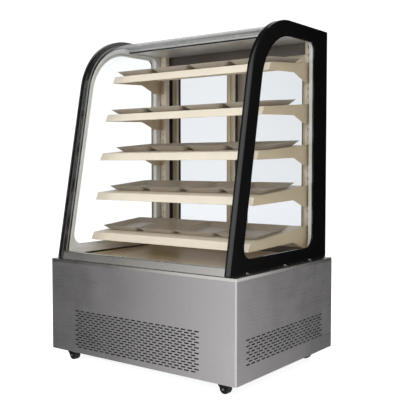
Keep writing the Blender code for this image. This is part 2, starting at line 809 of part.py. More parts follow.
def build_uprights():
    """The two slotted channels that the brackets hook into."""
    wall = SHEET
    for side, sign in (("left", -1), ("right", 1)):
        span = sorted((sign * UPRIGHT_INNER_X, sign * (UPRIGHT_INNER_X + UPRIGHT_WIDTH)))
        rear_y = UPRIGHT_FRONT_Y + UPRIGHT_DEPTH
        top_z = CEILING - SHEET - GAP
        channel = box(
            f"shelf_upright_{side}",
            (span[0], UPRIGHT_FRONT_Y, UPRIGHT_BOTTOM),
            (span[1], rear_y, top_z),
            "cream_enamel",
        )
        inside = box(
            f"upright_inside_{side}",
            (span[0] + wall, UPRIGHT_FRONT_Y + wall, UPRIGHT_BOTTOM - 0.01),
            (span[1] - wall, rear_y + 0.01, top_z + 0.01),
        )
        cut(channel, inside)
        cut(channel, box_tool(f"upright_slots_{side}", slot_spans(sum(span) / 2, top_z)))


def slot_spans(slot_x, top_z):
    """The slots of an upright, a fifth of the shelf pitch apart, in line with every hook."""
    spans = []
    centre_z = hook_heights(0)[0] - SLOT_PITCH
    while centre_z + SLOT_SIZE[1] < top_z:
        low = (slot_x - SLOT_SIZE[0] / 2, UPRIGHT_FRONT_Y - 0.01, centre_z - SLOT_SIZE[1] / 2)
        high = (slot_x + SLOT_SIZE[0] / 2, UPRIGHT_FRONT_Y + 0.01, centre_z + SLOT_SIZE[1] / 2)
        spans.append((low, high))
        centre_z += SLOT_PITCH
    return spans


# Rear frame and doors

def rectangle(low_x, high_x, low_z, high_z):
    """A rectangle's corners, anticlockwise."""
    return [(low_x, low_z), (high_x, low_z), (high_x, high_z), (low_x, high_z)]


def track_spans():
    """The Y spans of the inner and outer tracks."""
    middle = sum(REAR_FRAME_Y) / 2
    half_wall = TRACK_WALL / 2
    return (
        (REAR_FRAME_Y[0] + TRACK_WALL, middle - half_wall),
        (middle + half_wall, REAR_FRAME_Y[1] - TRACK_WALL),
    )


def build_rear_frame():
    """The frame round the rear opening, with a channel for each door on all four sides."""
    low_z = BASE_TOP + GAP
    high_z = ROOF_TOP - ROOF_FLANGE - GAP
    outer = rectangle(-SPAN_X, SPAN_X, low_z, high_z)
    opening = rectangle(-REAR_OPENING_X, REAR_OPENING_X, *REAR_OPENING_Z)
    frame = prism("rear_frame", [outer, opening], "XZ", *REAR_FRAME_Y, "dark_aluminium")
    channels = []
    for low_y, high_y in track_spans():
        low = (-SPAN_X + TRACK_SHELL, low_y, low_z + TRACK_SHELL)
        high = (SPAN_X - TRACK_SHELL, high_y, high_z - TRACK_SHELL)
        channels.append((low, high))
    cut(frame, box_tool("door_tracks", channels))


def build_door(side, sign, track):
    """A sliding door: a frame with a finger pull in its outer stile, and its pane."""
    middle_y = sum(track_spans()[track]) / 2
    span = sorted((sign * DOOR_OUTER_X, -sign * DOOR_OVERLAP_X))
    inner = (span[0] + DOOR_STILE, span[1] - DOOR_STILE)
    faces = (middle_y - DOOR_THICKNESS / 2, middle_y + DOOR_THICKNESS / 2)
    outline = rectangle(*span, *DOOR_Z)
    opening = rectangle(*inner, *DOOR_RAIL_Z)
    frame = prism(f"door_frame_{side}", [outline, opening], "XZ", *faces, "door_aluminium")
    pull_x = sign * (DOOR_OUTER_X - DOOR_STILE * 0.62)
    half_w = PULL_SIZE[0] / 2
    half_h = PULL_SIZE[2] / 2
    middle_z = sum(DOOR_RAIL_Z) / 2
    pocket = box(
        f"finger_pull_{side}",
        (pull_x - half_w, faces[1] - PULL_SIZE[1], middle_z - half_h),
        (pull_x + half_w, faces[1] + 0.01, middle_z + half_h),
    )
    cut(frame, pocket)
    box(
        f"door_glass_{side}",
        (inner[0] + GAP, middle_y - DOOR_GLASS / 2, DOOR_RAIL_Z[0] + GAP),
        (inner[1] - GAP, middle_y + DOOR_GLASS / 2, DOOR_RAIL_Z[1] - GAP),
        "clear_glass",
    )


# Refrigeration and controls

def comb(low_u, high_u, low_v, high_v, fins):
    """A comb outline: a spine along the bottom and fins that stand on it."""
    pitch = (high_u - low_u) / (2 * fins - 1)
    points = [(low_u, low_v)]
    spine = low_v + (high_v - low_v) * 0.12
    points.append((high_u, low_v))
    for fin in range(fins):
        right = high_u - 2 * fin * pitch
        points.append((right, high_v))
        points.append((right - pitch, high_v))
        if fin < fins - 1:
            points.append((right - pitch, spine))
            points.append((right - 2 * pitch, spine))
    return points


def build_condenser():
    """The condenser: a finned block in a shroud that has a round opening for the fan."""
    half = [size / 2 for size in COIL_SIZE]
    low = [c - h for c, h in zip(COIL_CENTRE, half)]
    high = [c + h for c, h in zip(COIL_CENTRE, half)]
    fins = comb(low[0], high[0], low[2], high[2], COIL_FINS)
    coil = prism("condenser_coil", [fins], "XZ", low[1], high[1], "coil_fins")
    rear_y = high[1] + 0.022
    shroud = box("shroud_block", (low[0], high[1] - 0.002, low[2]), (high[0], rear_y, high[2]))
    fuse(coil, shroud)
    centre = (COIL_CENTRE[0], rear_y, COIL_CENTRE[2])
    depth = 2 * (rear_y - high[1] + 0.003)
    cut(coil, cylinder("shroud_opening", FAN_RADIUS + 0.006, depth, centre, "Y", sides=32))


def build_fan():
    """The condenser fan: a hub and pitched blades, on an axis along Y."""
    hub_middle = (COIL_CENTRE[0], FAN_Y, COIL_CENTRE[2])
    hub = cylinder("condenser_fan", 0.022, 0.016, hub_middle, "Y", "black_plastic", 20)
    blade_low = (0.016, -0.0010, -0.022)
    blade_high = (FAN_RADIUS, 0.0010, 0.022)
    for index in range(FAN_BLADES):
        name = f"fan_blade_{index + 1}"
        blade = add_tool(name, box_mesh(name, [(blade_low, blade_high)], (0.0, 0.0, 0.0)))
        around = Matrix.Rotation(2 * math.pi * index / FAN_BLADES, 4, "Y")
        pitched = Matrix.Rotation(math.radians(16.0), 4, "X")
        blade.matrix_world = Matrix.Translation(hub_middle) @ around @ pitched
        fuse(hub, blade)


def build_compressor():
    """The compressor: a domed steel shell on a foot plate."""
    low_z = BASE_BOTTOM + SHEET + GAP
    radius = COMPRESSOR_RADIUS
    top_z = low_z + COMPRESSOR_HEIGHT
    profile = [(0.0, top_z)]
    dome = 0.045
    for step in range(1, 7):
        angle = math.pi / 2 * step / 6
        reach = radius * math.sin(angle)
        profile.append((reach, top_z - dome + dome * math.cos(angle)))
    profile += [(radius, low_z + 0.030), (radius * 0.8, low_z + 0.008)]
    profile += [(radius * 0.8, low_z + 0.001), (0.0, low_z + 0.001)]
    shell = turned("compressor", profile, "black_plastic", steps=24)
    shell.location = (*COMPRESSOR_CENTRE, 0.0)
    half = radius * 1.05
    low = (COMPRESSOR_CENTRE[0] - half, COMPRESSOR_CENTRE[1] - half, low_z)
    high = (COMPRESSOR_CENTRE[0] + half, COMPRESSOR_CENTRE[1] + half, low_z + 0.004)
    fuse(shell, box("compressor_feet", low, high))


def build_evaporator():
    """The evaporator: a finned block under the display floor."""
    fins = comb(
        EVAPORATOR_LOW[0], EVAPORATOR_HIGH[0], EVAPORATOR_LOW[2], EVAPORATOR_HIGH[2],
        EVAPORATOR_FINS,
    )
    prism(
        "evaporator_coil", [fins], "XZ", EVAPORATOR_LOW[1], EVAPORATOR_HIGH[1], "coil_fins"
    )


def build_controls():
    """The thermostat, the lamp's rocker switch and the power inlet, in the rear panel."""
    face_y = DEPTH / 2 - GAP
    plate_y = REAR_PANEL_Y[1] + GAP
    half_x, half_z = CONTROLLER_HALF
    rim = CONTROLLER_RIM
    controller = box(
        "thermostat",
        (CONTROLLER_X - half_x - rim, plate_y, CONTROL_Z - half_z - rim),
        (CONTROLLER_X + half_x + rim, face_y, CONTROL_Z + half_z + rim),
        "black_plastic",
    )
    body = box(
        "thermostat_body",
        (CONTROLLER_X - half_x, 0.290, CONTROL_Z - half_z),
        (CONTROLLER_X + half_x, plate_y + 0.001, CONTROL_Z + half_z),
    )
    fuse(controller, body)
    rocker = [(-0.0120, 0.0000), (-0.0120, 0.0040), (0.0, 0.0025), (0.0120, 0.0025),
              (0.0120, 0.0000), (0.0060, -0.0080), (-0.0060, -0.0080)]
    outline = [(REAR_PANEL_Y[1] + v, CONTROL_Z + u) for u, v in rocker]
    prism(
        "lamp_switch", [outline], "YZ", SWITCH_X - SWITCH_HALF[0], SWITCH_X + SWITCH_HALF[0],
        "black_plastic",
    )
    x = INLET_X
    half_x, half_z = INLET_HALF
    inlet = box(
        "power_inlet",
        (x - half_x - INLET_RIM[0], plate_y, INLET_Z - half_z - INLET_RIM[1]),
        (x + half_x + INLET_RIM[0], face_y, INLET_Z + half_z + INLET_RIM[1]),
        "black_plastic",
    )
    shell = box(
        "inlet_shell",
        (x - half_x, 0.322, INLET_Z - half_z),
        (x + half_x, plate_y + 0.001, INLET_Z + half_z),
    )
    socket = box(
        "inlet_socket",
        (x - 0.0115, 0.326, INLET_Z - 0.0075),
        (x + 0.0115, 0.360, INLET_Z + 0.0075),
    )
    cut(fuse(inlet, shell), socket)


def build_showcase():
    """Builds every sub-part of the showcase."""
    build_base_pan()
    build_base_panels()
    build_deck()
    for side, x in (("left", -CASTER_X), ("right", CASTER_X)):
        build_caster(f"front_{side}", x, -CASTER_Y, True)
        build_caster(f"rear_{side}", x, CASTER_Y, False)
    build_side_panels()
    build_front_glass()
    build_top()
    for tier in range(len(SHELF_FRONT_Y)):
        build_shelf(tier)
        build_bracket(tier, "left", -1)
        build_bracket(tier, "right", 1)
        build_trays(tier)
    build_uprights()
    build_rear_frame()
    build_door("left", -1, 1)
    build_door("right", 1, 0)
    build_condenser()
    build_fan()
    build_compressor()
    build_evaporator()
    build_controls()


clear_scene()
PARTS = new_collection("glass_display_showcase")
TOOLS = new_collection("cutters")
build_showcase()
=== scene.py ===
"""Looks of a curved-front glass display showcase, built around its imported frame.

Units are metres. +X is the right-hand side seen from the customer's side, -Y is the customer's
side and +Z is up. Visible sheet metal, glass, trays and doors are rebuilt here with their folds,
slots and grooves, and the parts inside the base keep the frame's own meshes.
"""
import logging
import math
from dataclasses import dataclass, field
from enum import Enum
from typing import Any, Iterable, Sequence

import bmesh
import bpy
from mathutils import Matrix, Vector


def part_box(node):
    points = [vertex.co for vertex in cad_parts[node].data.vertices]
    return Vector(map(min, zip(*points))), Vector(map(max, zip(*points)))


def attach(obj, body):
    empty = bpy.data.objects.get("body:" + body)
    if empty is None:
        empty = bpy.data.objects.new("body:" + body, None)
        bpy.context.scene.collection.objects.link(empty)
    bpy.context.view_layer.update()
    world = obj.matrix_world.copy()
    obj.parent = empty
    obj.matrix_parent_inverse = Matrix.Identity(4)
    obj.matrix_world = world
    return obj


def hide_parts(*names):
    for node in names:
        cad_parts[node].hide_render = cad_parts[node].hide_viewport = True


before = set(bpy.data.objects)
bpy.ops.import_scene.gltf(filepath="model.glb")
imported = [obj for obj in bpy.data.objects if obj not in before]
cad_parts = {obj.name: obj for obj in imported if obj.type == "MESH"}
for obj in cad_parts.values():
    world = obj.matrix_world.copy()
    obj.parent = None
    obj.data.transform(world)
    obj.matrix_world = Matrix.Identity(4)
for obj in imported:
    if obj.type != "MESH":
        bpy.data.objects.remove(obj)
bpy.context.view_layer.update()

LOG = logging.getLogger("showcase")
MM = 0.001
FLAT = 0.9999  # least part of a normal along an axis for a face to count as square to it
RELIEF = 0.0004  # metres of relief for each unit of a brushed finish's contrast
Point = tuple[float, float]
Outline = list[Point]
Ring = list[Vector]
SIDES = (("left", -1), ("right", 1))


# Finishes

class Grain(Enum):
    """Direction of brushing or extrusion, as the axis along which its lines run."""

    ALONG_X = (1, 0, 0)
    ALONG_Y = (0, 1, 0)
    ALONG_Z = (0, 0, 1)

    def scale(self, line: float, run: float) -> tuple[float, float, float]:
        """Pattern frequency on each axis, for lines of that width and length in metres."""
        return tuple(1.0 / run if along else 1.0 / line for along in self.value)


def linear(hex_colour: str, gain: float = 1.0) -> tuple[float, float, float, float]:
    """Turns an sRGB hex colour to linear light.

    Args:
        hex_colour: Six hex digits, with or without a leading hash.
        gain: Factor on the linear colour, for a lighter or darker tone of it.

    Returns:
        Red, green, blue and an alpha of 1.
    """
    digits = hex_colour.lstrip("#")
    channels = [int(digits[i:i + 2], 16) / 255.0 for i in (0, 2, 4)]
    light = [c / 12.92 if c <= 0.04045 else ((c + 0.055) / 1.055) ** 2.4 for c in channels]
    return (*[min(c * gain, 1.0) for c in light], 1.0)


def add_node(
    tree: bpy.types.NodeTree,
    kind: str,
    settings: dict[str, Any] | None = None,
    inputs: dict[Any, Any] | None = None,
) -> bpy.types.Node:
    """Adds a shader node with its settings and its inputs.

    Args:
        tree: Node tree that takes the node.
        kind: Node type without its ShaderNode prefix.
        settings: Values of the node's own properties.
        inputs: Values or sockets for its inputs, by name or number.

    Returns:
        The new node.
    """
    node = tree.nodes.new(f"ShaderNode{kind}")
    for name, value in (settings or {}).items():
        setattr(node, name, value)
    for name, value in (inputs or {}).items():
        if isinstance(value, bpy.types.NodeSocket):
            tree.links.new(value, node.inputs[name])
        else:
            node.inputs[name].default_value = value
    return node


@dataclass(frozen=True)
class Finish:
    """A surface finish that makes one shared material."""

    name: str

    def material(self) -> bpy.types.Material:
        """The finish's material, made the first time it is asked for."""
        made = bpy.data.materials.get(self.name)
        if made is None:
            made = bpy.data.materials.new(self.name)
            made.use_nodes = True
            made.node_tree.nodes.clear()
            surface = self.shade(made.node_tree)
            add_node(made.node_tree, "OutputMaterial", inputs={"Surface": surface})
        return made

    def shade(self, tree: bpy.types.NodeTree) -> bpy.types.NodeSocket:
        """The shader socket that the surface shows."""
        raise NotImplementedError

    @staticmethod
    def pattern(
        tree: bpy.types.NodeTree,
        scale: tuple[float, float, float],
        detail: float = 3.0,
    ) -> bpy.types.NodeSocket:
        """Noise in object space.

        Args:
            tree: Node tree of the material.
            scale: Features per metre on each axis.
            detail: Octaves of finer noise.

        Returns:
            The noise value, about 0.5 on average.
        """
        where = add_node(tree, "TexCoord")
        stretched = add_node(
            tree, "Mapping", inputs={"Vector": where.outputs["Object"], "Scale": scale}
        )
        noise = add_node(
            tree, "TexNoise", inputs={"Vector": stretched.outputs[0], "Scale": 1.0, "Detail": detail}
        )
        return noise.outputs[0]

    @staticmethod
    def spread(
        tree: bpy.types.NodeTree, value: bpy.types.NodeSocket, low: float, high: float
    ) -> bpy.types.NodeSocket:
        """Noise spread between two values.

        Args:
            tree: Node tree of the material.
            value: Noise value.
            low: Result where the noise is weakest.
            high: Result where the noise is strongest.

        Returns:
            The spread value.
        """
        span = {"Value": value, "From Min": 0.25, "From Max": 0.75, "To Min": low, "To Max": high}
        return add_node(tree, "MapRange", inputs=span).outputs[0]

    @staticmethod
    def tones(
        tree: bpy.types.NodeTree, value: bpy.types.NodeSocket, dark: Sequence[float],
        light: Sequence[float],
    ) -> bpy.types.NodeSocket:
        """A colour that noise moves between two tones.

        Args:
            tree: Node tree of the material.
            value: Noise value.
            dark: Tone where the noise is weakest.
            light: Tone where the noise is strongest.

        Returns:
            The colour socket.
        """
        factor = Finish.spread(tree, value, 0.0, 1.0)
        mix = add_node(tree, "Mix", {"data_type": "RGBA"}, {0: factor, 6: dark, 7: light})
        return mix.outputs[2]

    @staticmethod
    def relief(
        tree: bpy.types.NodeTree, value: bpy.types.NodeSocket, depth: float
    ) -> bpy.types.NodeSocket:
        """A bumped normal from a height pattern of that depth in metres."""
        bump = add_node(tree, "Bump", inputs={"Height": value, "Distance": depth, "Strength": 1.0})
        return bump.outputs[0]


@dataclass(frozen=True)
class BrushedMetal(Finish):
    """Sheet or extrusion rubbed one way with an abrasive belt.

    The lines spread highlights across the grain, and streak the sheen along it.
    """

    colour: str = "#cfccce"
    grain: Grain = Grain.ALONG_X
    roughness: float = 0.28
    line_mm: float = 1.4  # real lines are 0.1 to 0.3 mm, so these are as coarse as shows
    run_mm: float = 160.0
    contrast: float = 0.022  # of the lines, in tone, roughness and relief
    metallic: float = 1.0  # below 1 it scatters light as paint does, to stand in for the case's lighting

    def shade(self, tree: bpy.types.NodeTree) -> bpy.types.NodeSocket:
        """Metal with grain in its colour, roughness and relief."""
        lines = self.pattern(tree, self.grain.scale(self.line_mm * MM, self.run_mm * MM), 5.0)
        cloud = self.pattern(tree, (7.0, 7.0, 7.0), 2.0)
        tone = self.tones(
            tree, lines, linear(self.colour, 1.0 - self.contrast), linear(self.colour, 1.0 + self.contrast)
        )
        rubbed = self.spread(tree, lines, self.roughness - self.contrast, self.roughness + self.contrast)
        handled = self.spread(tree, cloud, -0.03, 0.03)
        rough = add_node(tree, "Math", {"operation": "ADD"}, {0: rubbed, 1: handled})
        metal = add_node(tree, "BsdfPrincipled", inputs={
            "Base Color": tone,
            "Metallic": self.metallic,
            "Roughness": rough.outputs[0],
            "Normal": self.relief(tree, lines, self.contrast * RELIEF),
        })
        return metal.outputs[0]


@dataclass(frozen=True)
class PowderEnamel(Finish):
    """Powder coat, stoved on sheet steel.

    Its slight orange peel softens the highlights.
    """

    colour: str = "#eaddca"
    roughness: float = 0.42
    peel_mm: float = 2.2  # real orange peel is 1 to 3 mm across

    def shade(self, tree: bpy.types.NodeTree) -> bpy.types.NodeSocket:
        """Paint with a soft mottle and orange peel."""
        peel = self.pattern(tree, (1.0 / (self.peel_mm * MM),) * 3, 1.5)
        cloud = self.pattern(tree, (9.0, 9.0, 9.0), 3.0)
        paint = add_node(tree, "BsdfPrincipled", inputs={
            "Base Color": self.tones(tree, cloud, linear(self.colour, 0.95), linear(self.colour, 1.03)),
            "Roughness": self.spread(tree, cloud, self.roughness - 0.04, self.roughness + 0.04),
            "IOR": 1.5,
            "Normal": self.relief(tree, peel, 0.00003),
        })
        return paint.outputs[0]


@dataclass(frozen=True)
class PrintedGlass(Finish):
    """Toughened glass with a fired ceramic print behind it.

    The print is dense and even, and the glass over it mirrors sharply, with faint wipe marks. Its
    sheen is well under plain glass on the broad borders, which keeps them near black.
    """

    colour: str = "#0a0a0b"
    roughness: float = 0.07
    sheen: float = 0.06

    def shade(self, tree: bpy.types.NodeTree) -> bpy.types.NodeSocket:
        """Gloss dielectric over a near-black print."""
        wipes = self.pattern(tree, (5.0, 14.0, 9.0), 4.0)
        print_tone = self.tones(tree, wipes, linear(self.colour, 0.8), linear(self.colour, 1.3))
        gloss = add_node(tree, "BsdfPrincipled", inputs={
            "Base Color": print_tone,
            "Roughness": self.spread(tree, wipes, self.roughness - 0.03, self.roughness + 0.04),
            "IOR": 1.52,
            "Specular IOR Level": self.sheen,
        })
        return gloss.outputs[0]


@dataclass(frozen=True)
class FloatGlass(Finish):
    """Clear soda-lime float glass, too thin to bend what is seen through it.

    Light goes straight through with a slight tint, and more of it is mirrored at a low angle.
    """

    tint: str = "#feffff"
    mirror: float = 0.010
    roughness: float = 0.012

    def shade(self, tree: bpy.types.NodeTree) -> bpy.types.NodeSocket:
        """Transparent glass that mirrors more as the angle gets lower."""
        film = self.pattern(tree, (3.0, 3.0, 5.0), 3.0)
        through = add_node(tree, "BsdfTransparent", inputs={
            "Color": self.tones(tree, film, linear(self.tint, 0.995), linear(self.tint)),
        })
        mirrored = add_node(tree, "BsdfGlossy", inputs={"Roughness": self.roughness})
        facing = add_node(tree, "LayerWeight", inputs={"Blend": 0.5})
        low_angle = add_node(tree, "Math", {"operation": "POWER"}, {0: facing.outputs["Facing"], 1: 5.0})
        share = add_node(tree, "Math", {"operation": "MULTIPLY_ADD"}, {
            0: low_angle.outputs[0], 1: 1.0 - self.mirror, 2: self.mirror,
        })
        pane = add_node(tree, "MixShader", inputs={
            0: share.outputs[0], 1: through.outputs[0], 2: mirrored.outputs[0],
        })
        return pane.outputs[0]


@dataclass(frozen=True)
class MouldedPlastic(Finish):
    """Injection-moulded ABS or nylon with a spark-eroded texture, which dulls its highlights."""

    colour: str = "#1a1a1c"
    roughness: float = 0.5
    texture_mm: float = 0.8  # real texture is 0.1 to 0.2 mm

    def shade(self, tree: bpy.types.NodeTree) -> bpy.types.NodeSocket:
        """Plastic with a fine relief."""
        texture = self.pattern(tree, (1.0 / (self.texture_mm * MM),) * 3, 2.0)
        cloud = self.pattern(tree, (20.0, 20.0, 20.0), 2.0)
        plastic = add_node(tree, "BsdfPrincipled", inputs={
            "Base Color": self.tones(tree, cloud, linear(self.colour, 0.85), linear(self.colour, 1.2)),
            "Roughness": self.spread(tree, texture, self.roughness - 0.06, self.roughness + 0.06),
            "IOR": 1.53,
            "Normal": self.relief(tree, texture, 0.00004),
        })
        return plastic.outputs[0]


@dataclass(frozen=True)
class OpalDiffuser(Finish):
    """Opal polycarbonate tube over a lit lamp, which glows evenly and a little warm."""

    colour: str = "#fff4e2"
    glow: float = 2.0

    def shade(self, tree: bpy.types.NodeTree) -> bpy.types.NodeSocket:
        """Milky plastic that gives light."""
        cloud = self.pattern(tree, (30.0, 60.0, 60.0), 2.0)
        opal = add_node(tree, "BsdfPrincipled", inputs={
            "Base Color": self.tones(tree, cloud, linear(self.colour, 0.9), linear(self.colour)),
            "Roughness": 0.35,
            "IOR": 1.58,
            "Emission Color": linear(self.colour),
            "Emission Strength": self.glow,
        })
        return opal.outputs[0]


@dataclass(frozen=True)
class PaleFloor(Finish):
    """Matt white studio floor, which glows so that it has no far edge and only faint shadows.

    It glows more for the camera than for what it lights, so it doesn't flood the case from below.
    """

    colour: str = "#f4f4f4"
    glow: float = 0.80
    spill: float = 0.25

    def shade(self, tree: bpy.types.NodeTree) -> bpy.types.NodeSocket:
        """Matt paint with the faintest mottle."""
        cloud = self.pattern(tree, (1.5, 1.5, 1.5), 3.0)
        path = add_node(tree, "LightPath")
        lit = add_node(tree, "MapRange", inputs={
            "Value": path.outputs["Is Camera Ray"], "To Min": self.spill, "To Max": self.glow,
        })
        paint = add_node(tree, "BsdfPrincipled", inputs={
            "Base Color": self.tones(tree, cloud, linear(self.colour, 0.99), linear(self.colour)),
            "Roughness": 0.8,
            "Emission Color": linear("#ffffff"),
            "Emission Strength": lit.outputs[0],
        })
        return paint.outputs[0]


STEEL_ALONG_X = BrushedMetal("stainless_304_brushed_along_x")
STEEL_ALONG_Y = BrushedMetal("stainless_304_brushed_along_y", grain=Grain.ALONG_Y)
# Painted reflection: the deck is stainless, and its tan colour stands in for the warm-lit cream interior that
# it mirrors.
DECK_STEEL_WARM_REFLECTION = BrushedMetal(
    "stainless_304_deck_painted_reflection", colour="#e2cfae", roughness=0.34, contrast=0.015, metallic=0.1
)
TRIM_STEEL = BrushedMetal("stainless_430_satin_trim", colour="#dad8d3", roughness=0.28, contrast=0.012)
ZINC_PLATE = BrushedMetal(
    "zinc_plated_pressing", colour="#8b8d91", grain=Grain.ALONG_Z, roughness=0.42, run_mm=6.0
)
BLACK_PLATE = BrushedMetal(
    "black_zinc_pressing", colour="#2a2a2c", grain=Grain.ALONG_Z, roughness=0.45, run_mm=6.0
)
TRAY_STEEL = BrushedMetal(
    "deep_drawn_tray_steel", colour="#b9b0a4", roughness=0.36, line_mm=3.0, run_mm=40.0, metallic=0.3
)
DARK_ALUMINIUM = BrushedMetal(
    "dark_bronze_anodised_aluminium", colour="#6e6864", roughness=0.38, contrast=0.04
)
DOOR_ALUMINIUM_Z = BrushedMetal(
    "champagne_anodised_stile", colour="#dccfb8", grain=Grain.ALONG_Z, roughness=0.34, metallic=0.4
)
DOOR_ALUMINIUM_X = BrushedMetal("champagne_anodised_rail", colour="#dccfb8", roughness=0.34, metallic=0.4)
CANOPY_ALUMINIUM = BrushedMetal(
    "silver_anodised_canopy", colour="#dad9d7", roughness=0.30, contrast=0.015, metallic=0.3
)
SPACER_ALUMINIUM = BrushedMetal(
    "lacquered_spacer", colour="#f0f0ee", grain=Grain.ALONG_Z, roughness=0.45, contrast=0.02, metallic=0.0
)
FIN_ALUMINIUM = BrushedMetal(
    "mill_finish_fins", colour="#c4c6c8", grain=Grain.ALONG_Y, roughness=0.4, line_mm=2.0, run_mm=30.0
)
CREAM_ENAMEL = PowderEnamel("cream_powder_enamel")
# Painted shade: the brackets wear the same cream enamel as the shelves, darkened to taupe for the shade on
# their sides.
SHADED_CREAM_ENAMEL = PowderEnamel("cream_powder_enamel_painted_shade", colour="#cbb899")
BLACK_ENAMEL = PowderEnamel("black_stoved_enamel", colour="#18181a", roughness=0.3)
BLACK_PRINT = PrintedGlass("black_ceramic_print_glass")
BLACK_ARRIS = PrintedGlass("black_ground_glass_edge", colour="#121214", roughness=0.14, sheen=0.8)
GLASS_EDGE = PrintedGlass("polished_glass_edge", colour="#868a88", roughness=0.12, sheen=0.5)
DISPLAY_WINDOW = PrintedGlass("smoked_display_window", colour="#1b0d0d", roughness=0.06, sheen=0.5)
CLEAR_GLASS = FloatGlass("clear_float_glass")
DOOR_GLASS = FloatGlass("door_float_glass", tint="#f2f3f5")
BLACK_PLASTIC = MouldedPlastic("black_abs")
SEAL_RUBBER = MouldedPlastic("black_epdm_seal", colour="#151515", roughness=0.65, texture_mm=1.5)
WHEEL_RUBBER = MouldedPlastic("black_tread_rubber", colour="#1c1c1c", roughness=0.72, texture_mm=1.2)
# Painted shade: black felt that darkens the louvre slots as the shade inside the base would.
SHADE_FELT = MouldedPlastic("black_shade_felt", colour="#161616", roughness=0.9, texture_mm=2.5)
LAMP_OPAL = OpalDiffuser("opal_polycarbonate_lit")


# Outlines and meshes

def rounded(corners: Sequence[tuple[float, float, float]], steps: int = 6) -> Outline:
    """A closed outline with an arc in each corner that has a radius.

    Args:
        corners: Corners as (u, v, radius).
        steps: Chords per arc; an arc of over 100 mm takes eight times as many.

    Returns:
        The outline's points.
    """
    points: Outline = []
    count = len(corners)
    for i, (u, v, radius) in enumerate(corners):
        here = Vector((u, v))
        if radius <= 0.0:
            points.append((u, v))
            continue
        back = (Vector(corners[i - 1][:2]) - here).normalized()
        ahead = (Vector(corners[(i + 1) % count][:2]) - here).normalized()
        points += corner_arc(here, back, ahead, radius, steps * 8 if radius > 0.1 else steps)
    return points


def corner_arc(here: Vector, back: Vector, ahead: Vector, radius: float, steps: int) -> Outline:
    """The arc that rounds one corner.

    Args:
        here: The corner.
        back: Unit direction towards the point before it.
        ahead: Unit direction towards the point after it.
        radius: Radius of the arc.
        steps: Chords in the arc.

    Returns:
        Points from the arc's start to its end.
    """
    half = back.angle(ahead) / 2
    centre = here + (back + ahead).normalized() * radius / math.sin(half)
    start = here + back * radius / math.tan(half) - centre
    end = here + ahead * radius / math.tan(half) - centre
    turn = start.angle_signed(end)
    return [
        tuple(centre + Matrix.Rotation(-turn * step / steps, 2) @ start) for step in range(steps + 1)
    ]


def folded_sheet(path: Sequence[Point], thickness: float, radius: float = 0.0025) -> Outline:
    """The section of a folded sheet.

    Args:
        path: Open path of one face, by its square corners.
        thickness: Sheet thickness, to the right of the path.
        radius: Bend radius of the path's corners.

    Returns:
        The closed outline of the section.
    """
    face: Outline = [tuple(path[0])]
    for before, here, after in zip(path, path[1:], path[2:]):
        back = (Vector(before) - Vector(here)).normalized()
        ahead = (Vector(after) - Vector(here)).normalized()
        face += corner_arc(Vector(here), back, ahead, radius, 5)
    face.append(tuple(path[-1]))
    other = []
    for i, point in enumerate(face):
        into = Vector(point) - Vector(face[max(i - 1, 0)])
        out = Vector(face[min(i + 1, len(face) - 1)]) - Vector(point)
        along = (into.normalized() + out.normalized()).normalized()
        other.append(tuple(Vector(point) + Vector((along.y, -along.x)) * thickness))
    return face + other[::-1]


def rectangle(low_u: float, high_u: float, low_v: float, high_v: float, radius: float = 0.0) -> Outline:
    """A rectangle's outline, with rounded corners if a radius is given."""
    corners = [(low_u, low_v), (high_u, low_v), (high_u, high_v), (low_u, high_v)]
    return rounded([(u, v, radius) for u, v in corners])


def stadium(u: float, v: float, length: float, height: float) -> Outline:
    """The outline of a slot with round ends, by its centre, length and height."""
    half = height / 2
    points = []
    for end in (1, -1):
        for step in range(5):
            angle = end * (-math.pi / 2 + math.pi * step / 4)
            reach = end * (length / 2 - half) + end * half * math.cos(angle)
            points.append((u + reach, v + half * math.sin(angle)))
    return points


def finished(bm: bmesh.types.BMesh, name: str, sharp: float = 35.0) -> bpy.types.Mesh:
    """Turns a bmesh to a mesh with smooth shading up to that angle in degrees."""
    bmesh.ops.recalc_face_normals(bm, faces=bm.faces)
    mesh = bpy.data.meshes.new(name)
    bm.to_mesh(mesh)
    bm.free()
    mesh.shade_smooth()
    mesh.set_sharp_from_angle(angle=math.radians(sharp))
    return mesh


def bevelled(bm: bmesh.types.BMesh, width: float, segments: int = 2) -> bmesh.types.BMesh:
    """Rounds every edge of a bmesh that turns by more than 40 degrees."""
    if width > 0.0:
        turning = [
            e for e in bm.edges
            if len(e.link_faces) == 2 and e.calc_face_angle() > math.radians(40.0)
        ]
        bmesh.ops.bevel(
            bm, geom=turning, offset=width, segments=segments, profile=0.5,
            affect="EDGES", clamp_overlap=True,
        )
    return bm


def slab(outlines: Sequence[Outline], thickness: float) -> bmesh.types.BMesh:
    """A filled flat outline with holes, extruded from w = 0 to the thickness.

    Args:
        outlines: The outer outline and any holes, as (u, v) points.
        thickness: Extent along w.

    Returns:
        A closed bmesh in (u, v, w).
    """
    curve = bpy.data.curves.new("outline", "CURVE")
    curve.dimensions = "2D"
    curve.fill_mode = "BOTH"
    curve.extrude = thickness / 2
    for outline in outlines:
        spline = curve.splines.new("POLY")
        spline.points.add(len(outline) - 1)
        for point, (u, v) in zip(spline.points, outline):
            point.co = (u, v, 0.0, 1.0)
        spline.use_cyclic_u = True
    guide = bpy.data.objects.new("outline", curve)
    bpy.context.scene.collection.objects.link(guide)
    graph = bpy.context.evaluated_depsgraph_get()
    filled = bpy.data.meshes.new_from_object(guide.evaluated_get(graph))
    bpy.data.objects.remove(guide)
    bm = bmesh.new()
    bm.from_mesh(filled)
    bpy.data.meshes.remove(filled)
    bmesh.ops.remove_doubles(bm, verts=bm.verts, dist=0.00001)
    bmesh.ops.translate(bm, verts=bm.verts, vec=(0.0, 0.0, thickness / 2))
    return bm


class Plane(Enum):
    """How an outline's (u, v, w) lies in space."""

    YZ = ("w", "u", "v")
    XZ = ("u", "w", "v")
    XY = ("u", "v", "w")


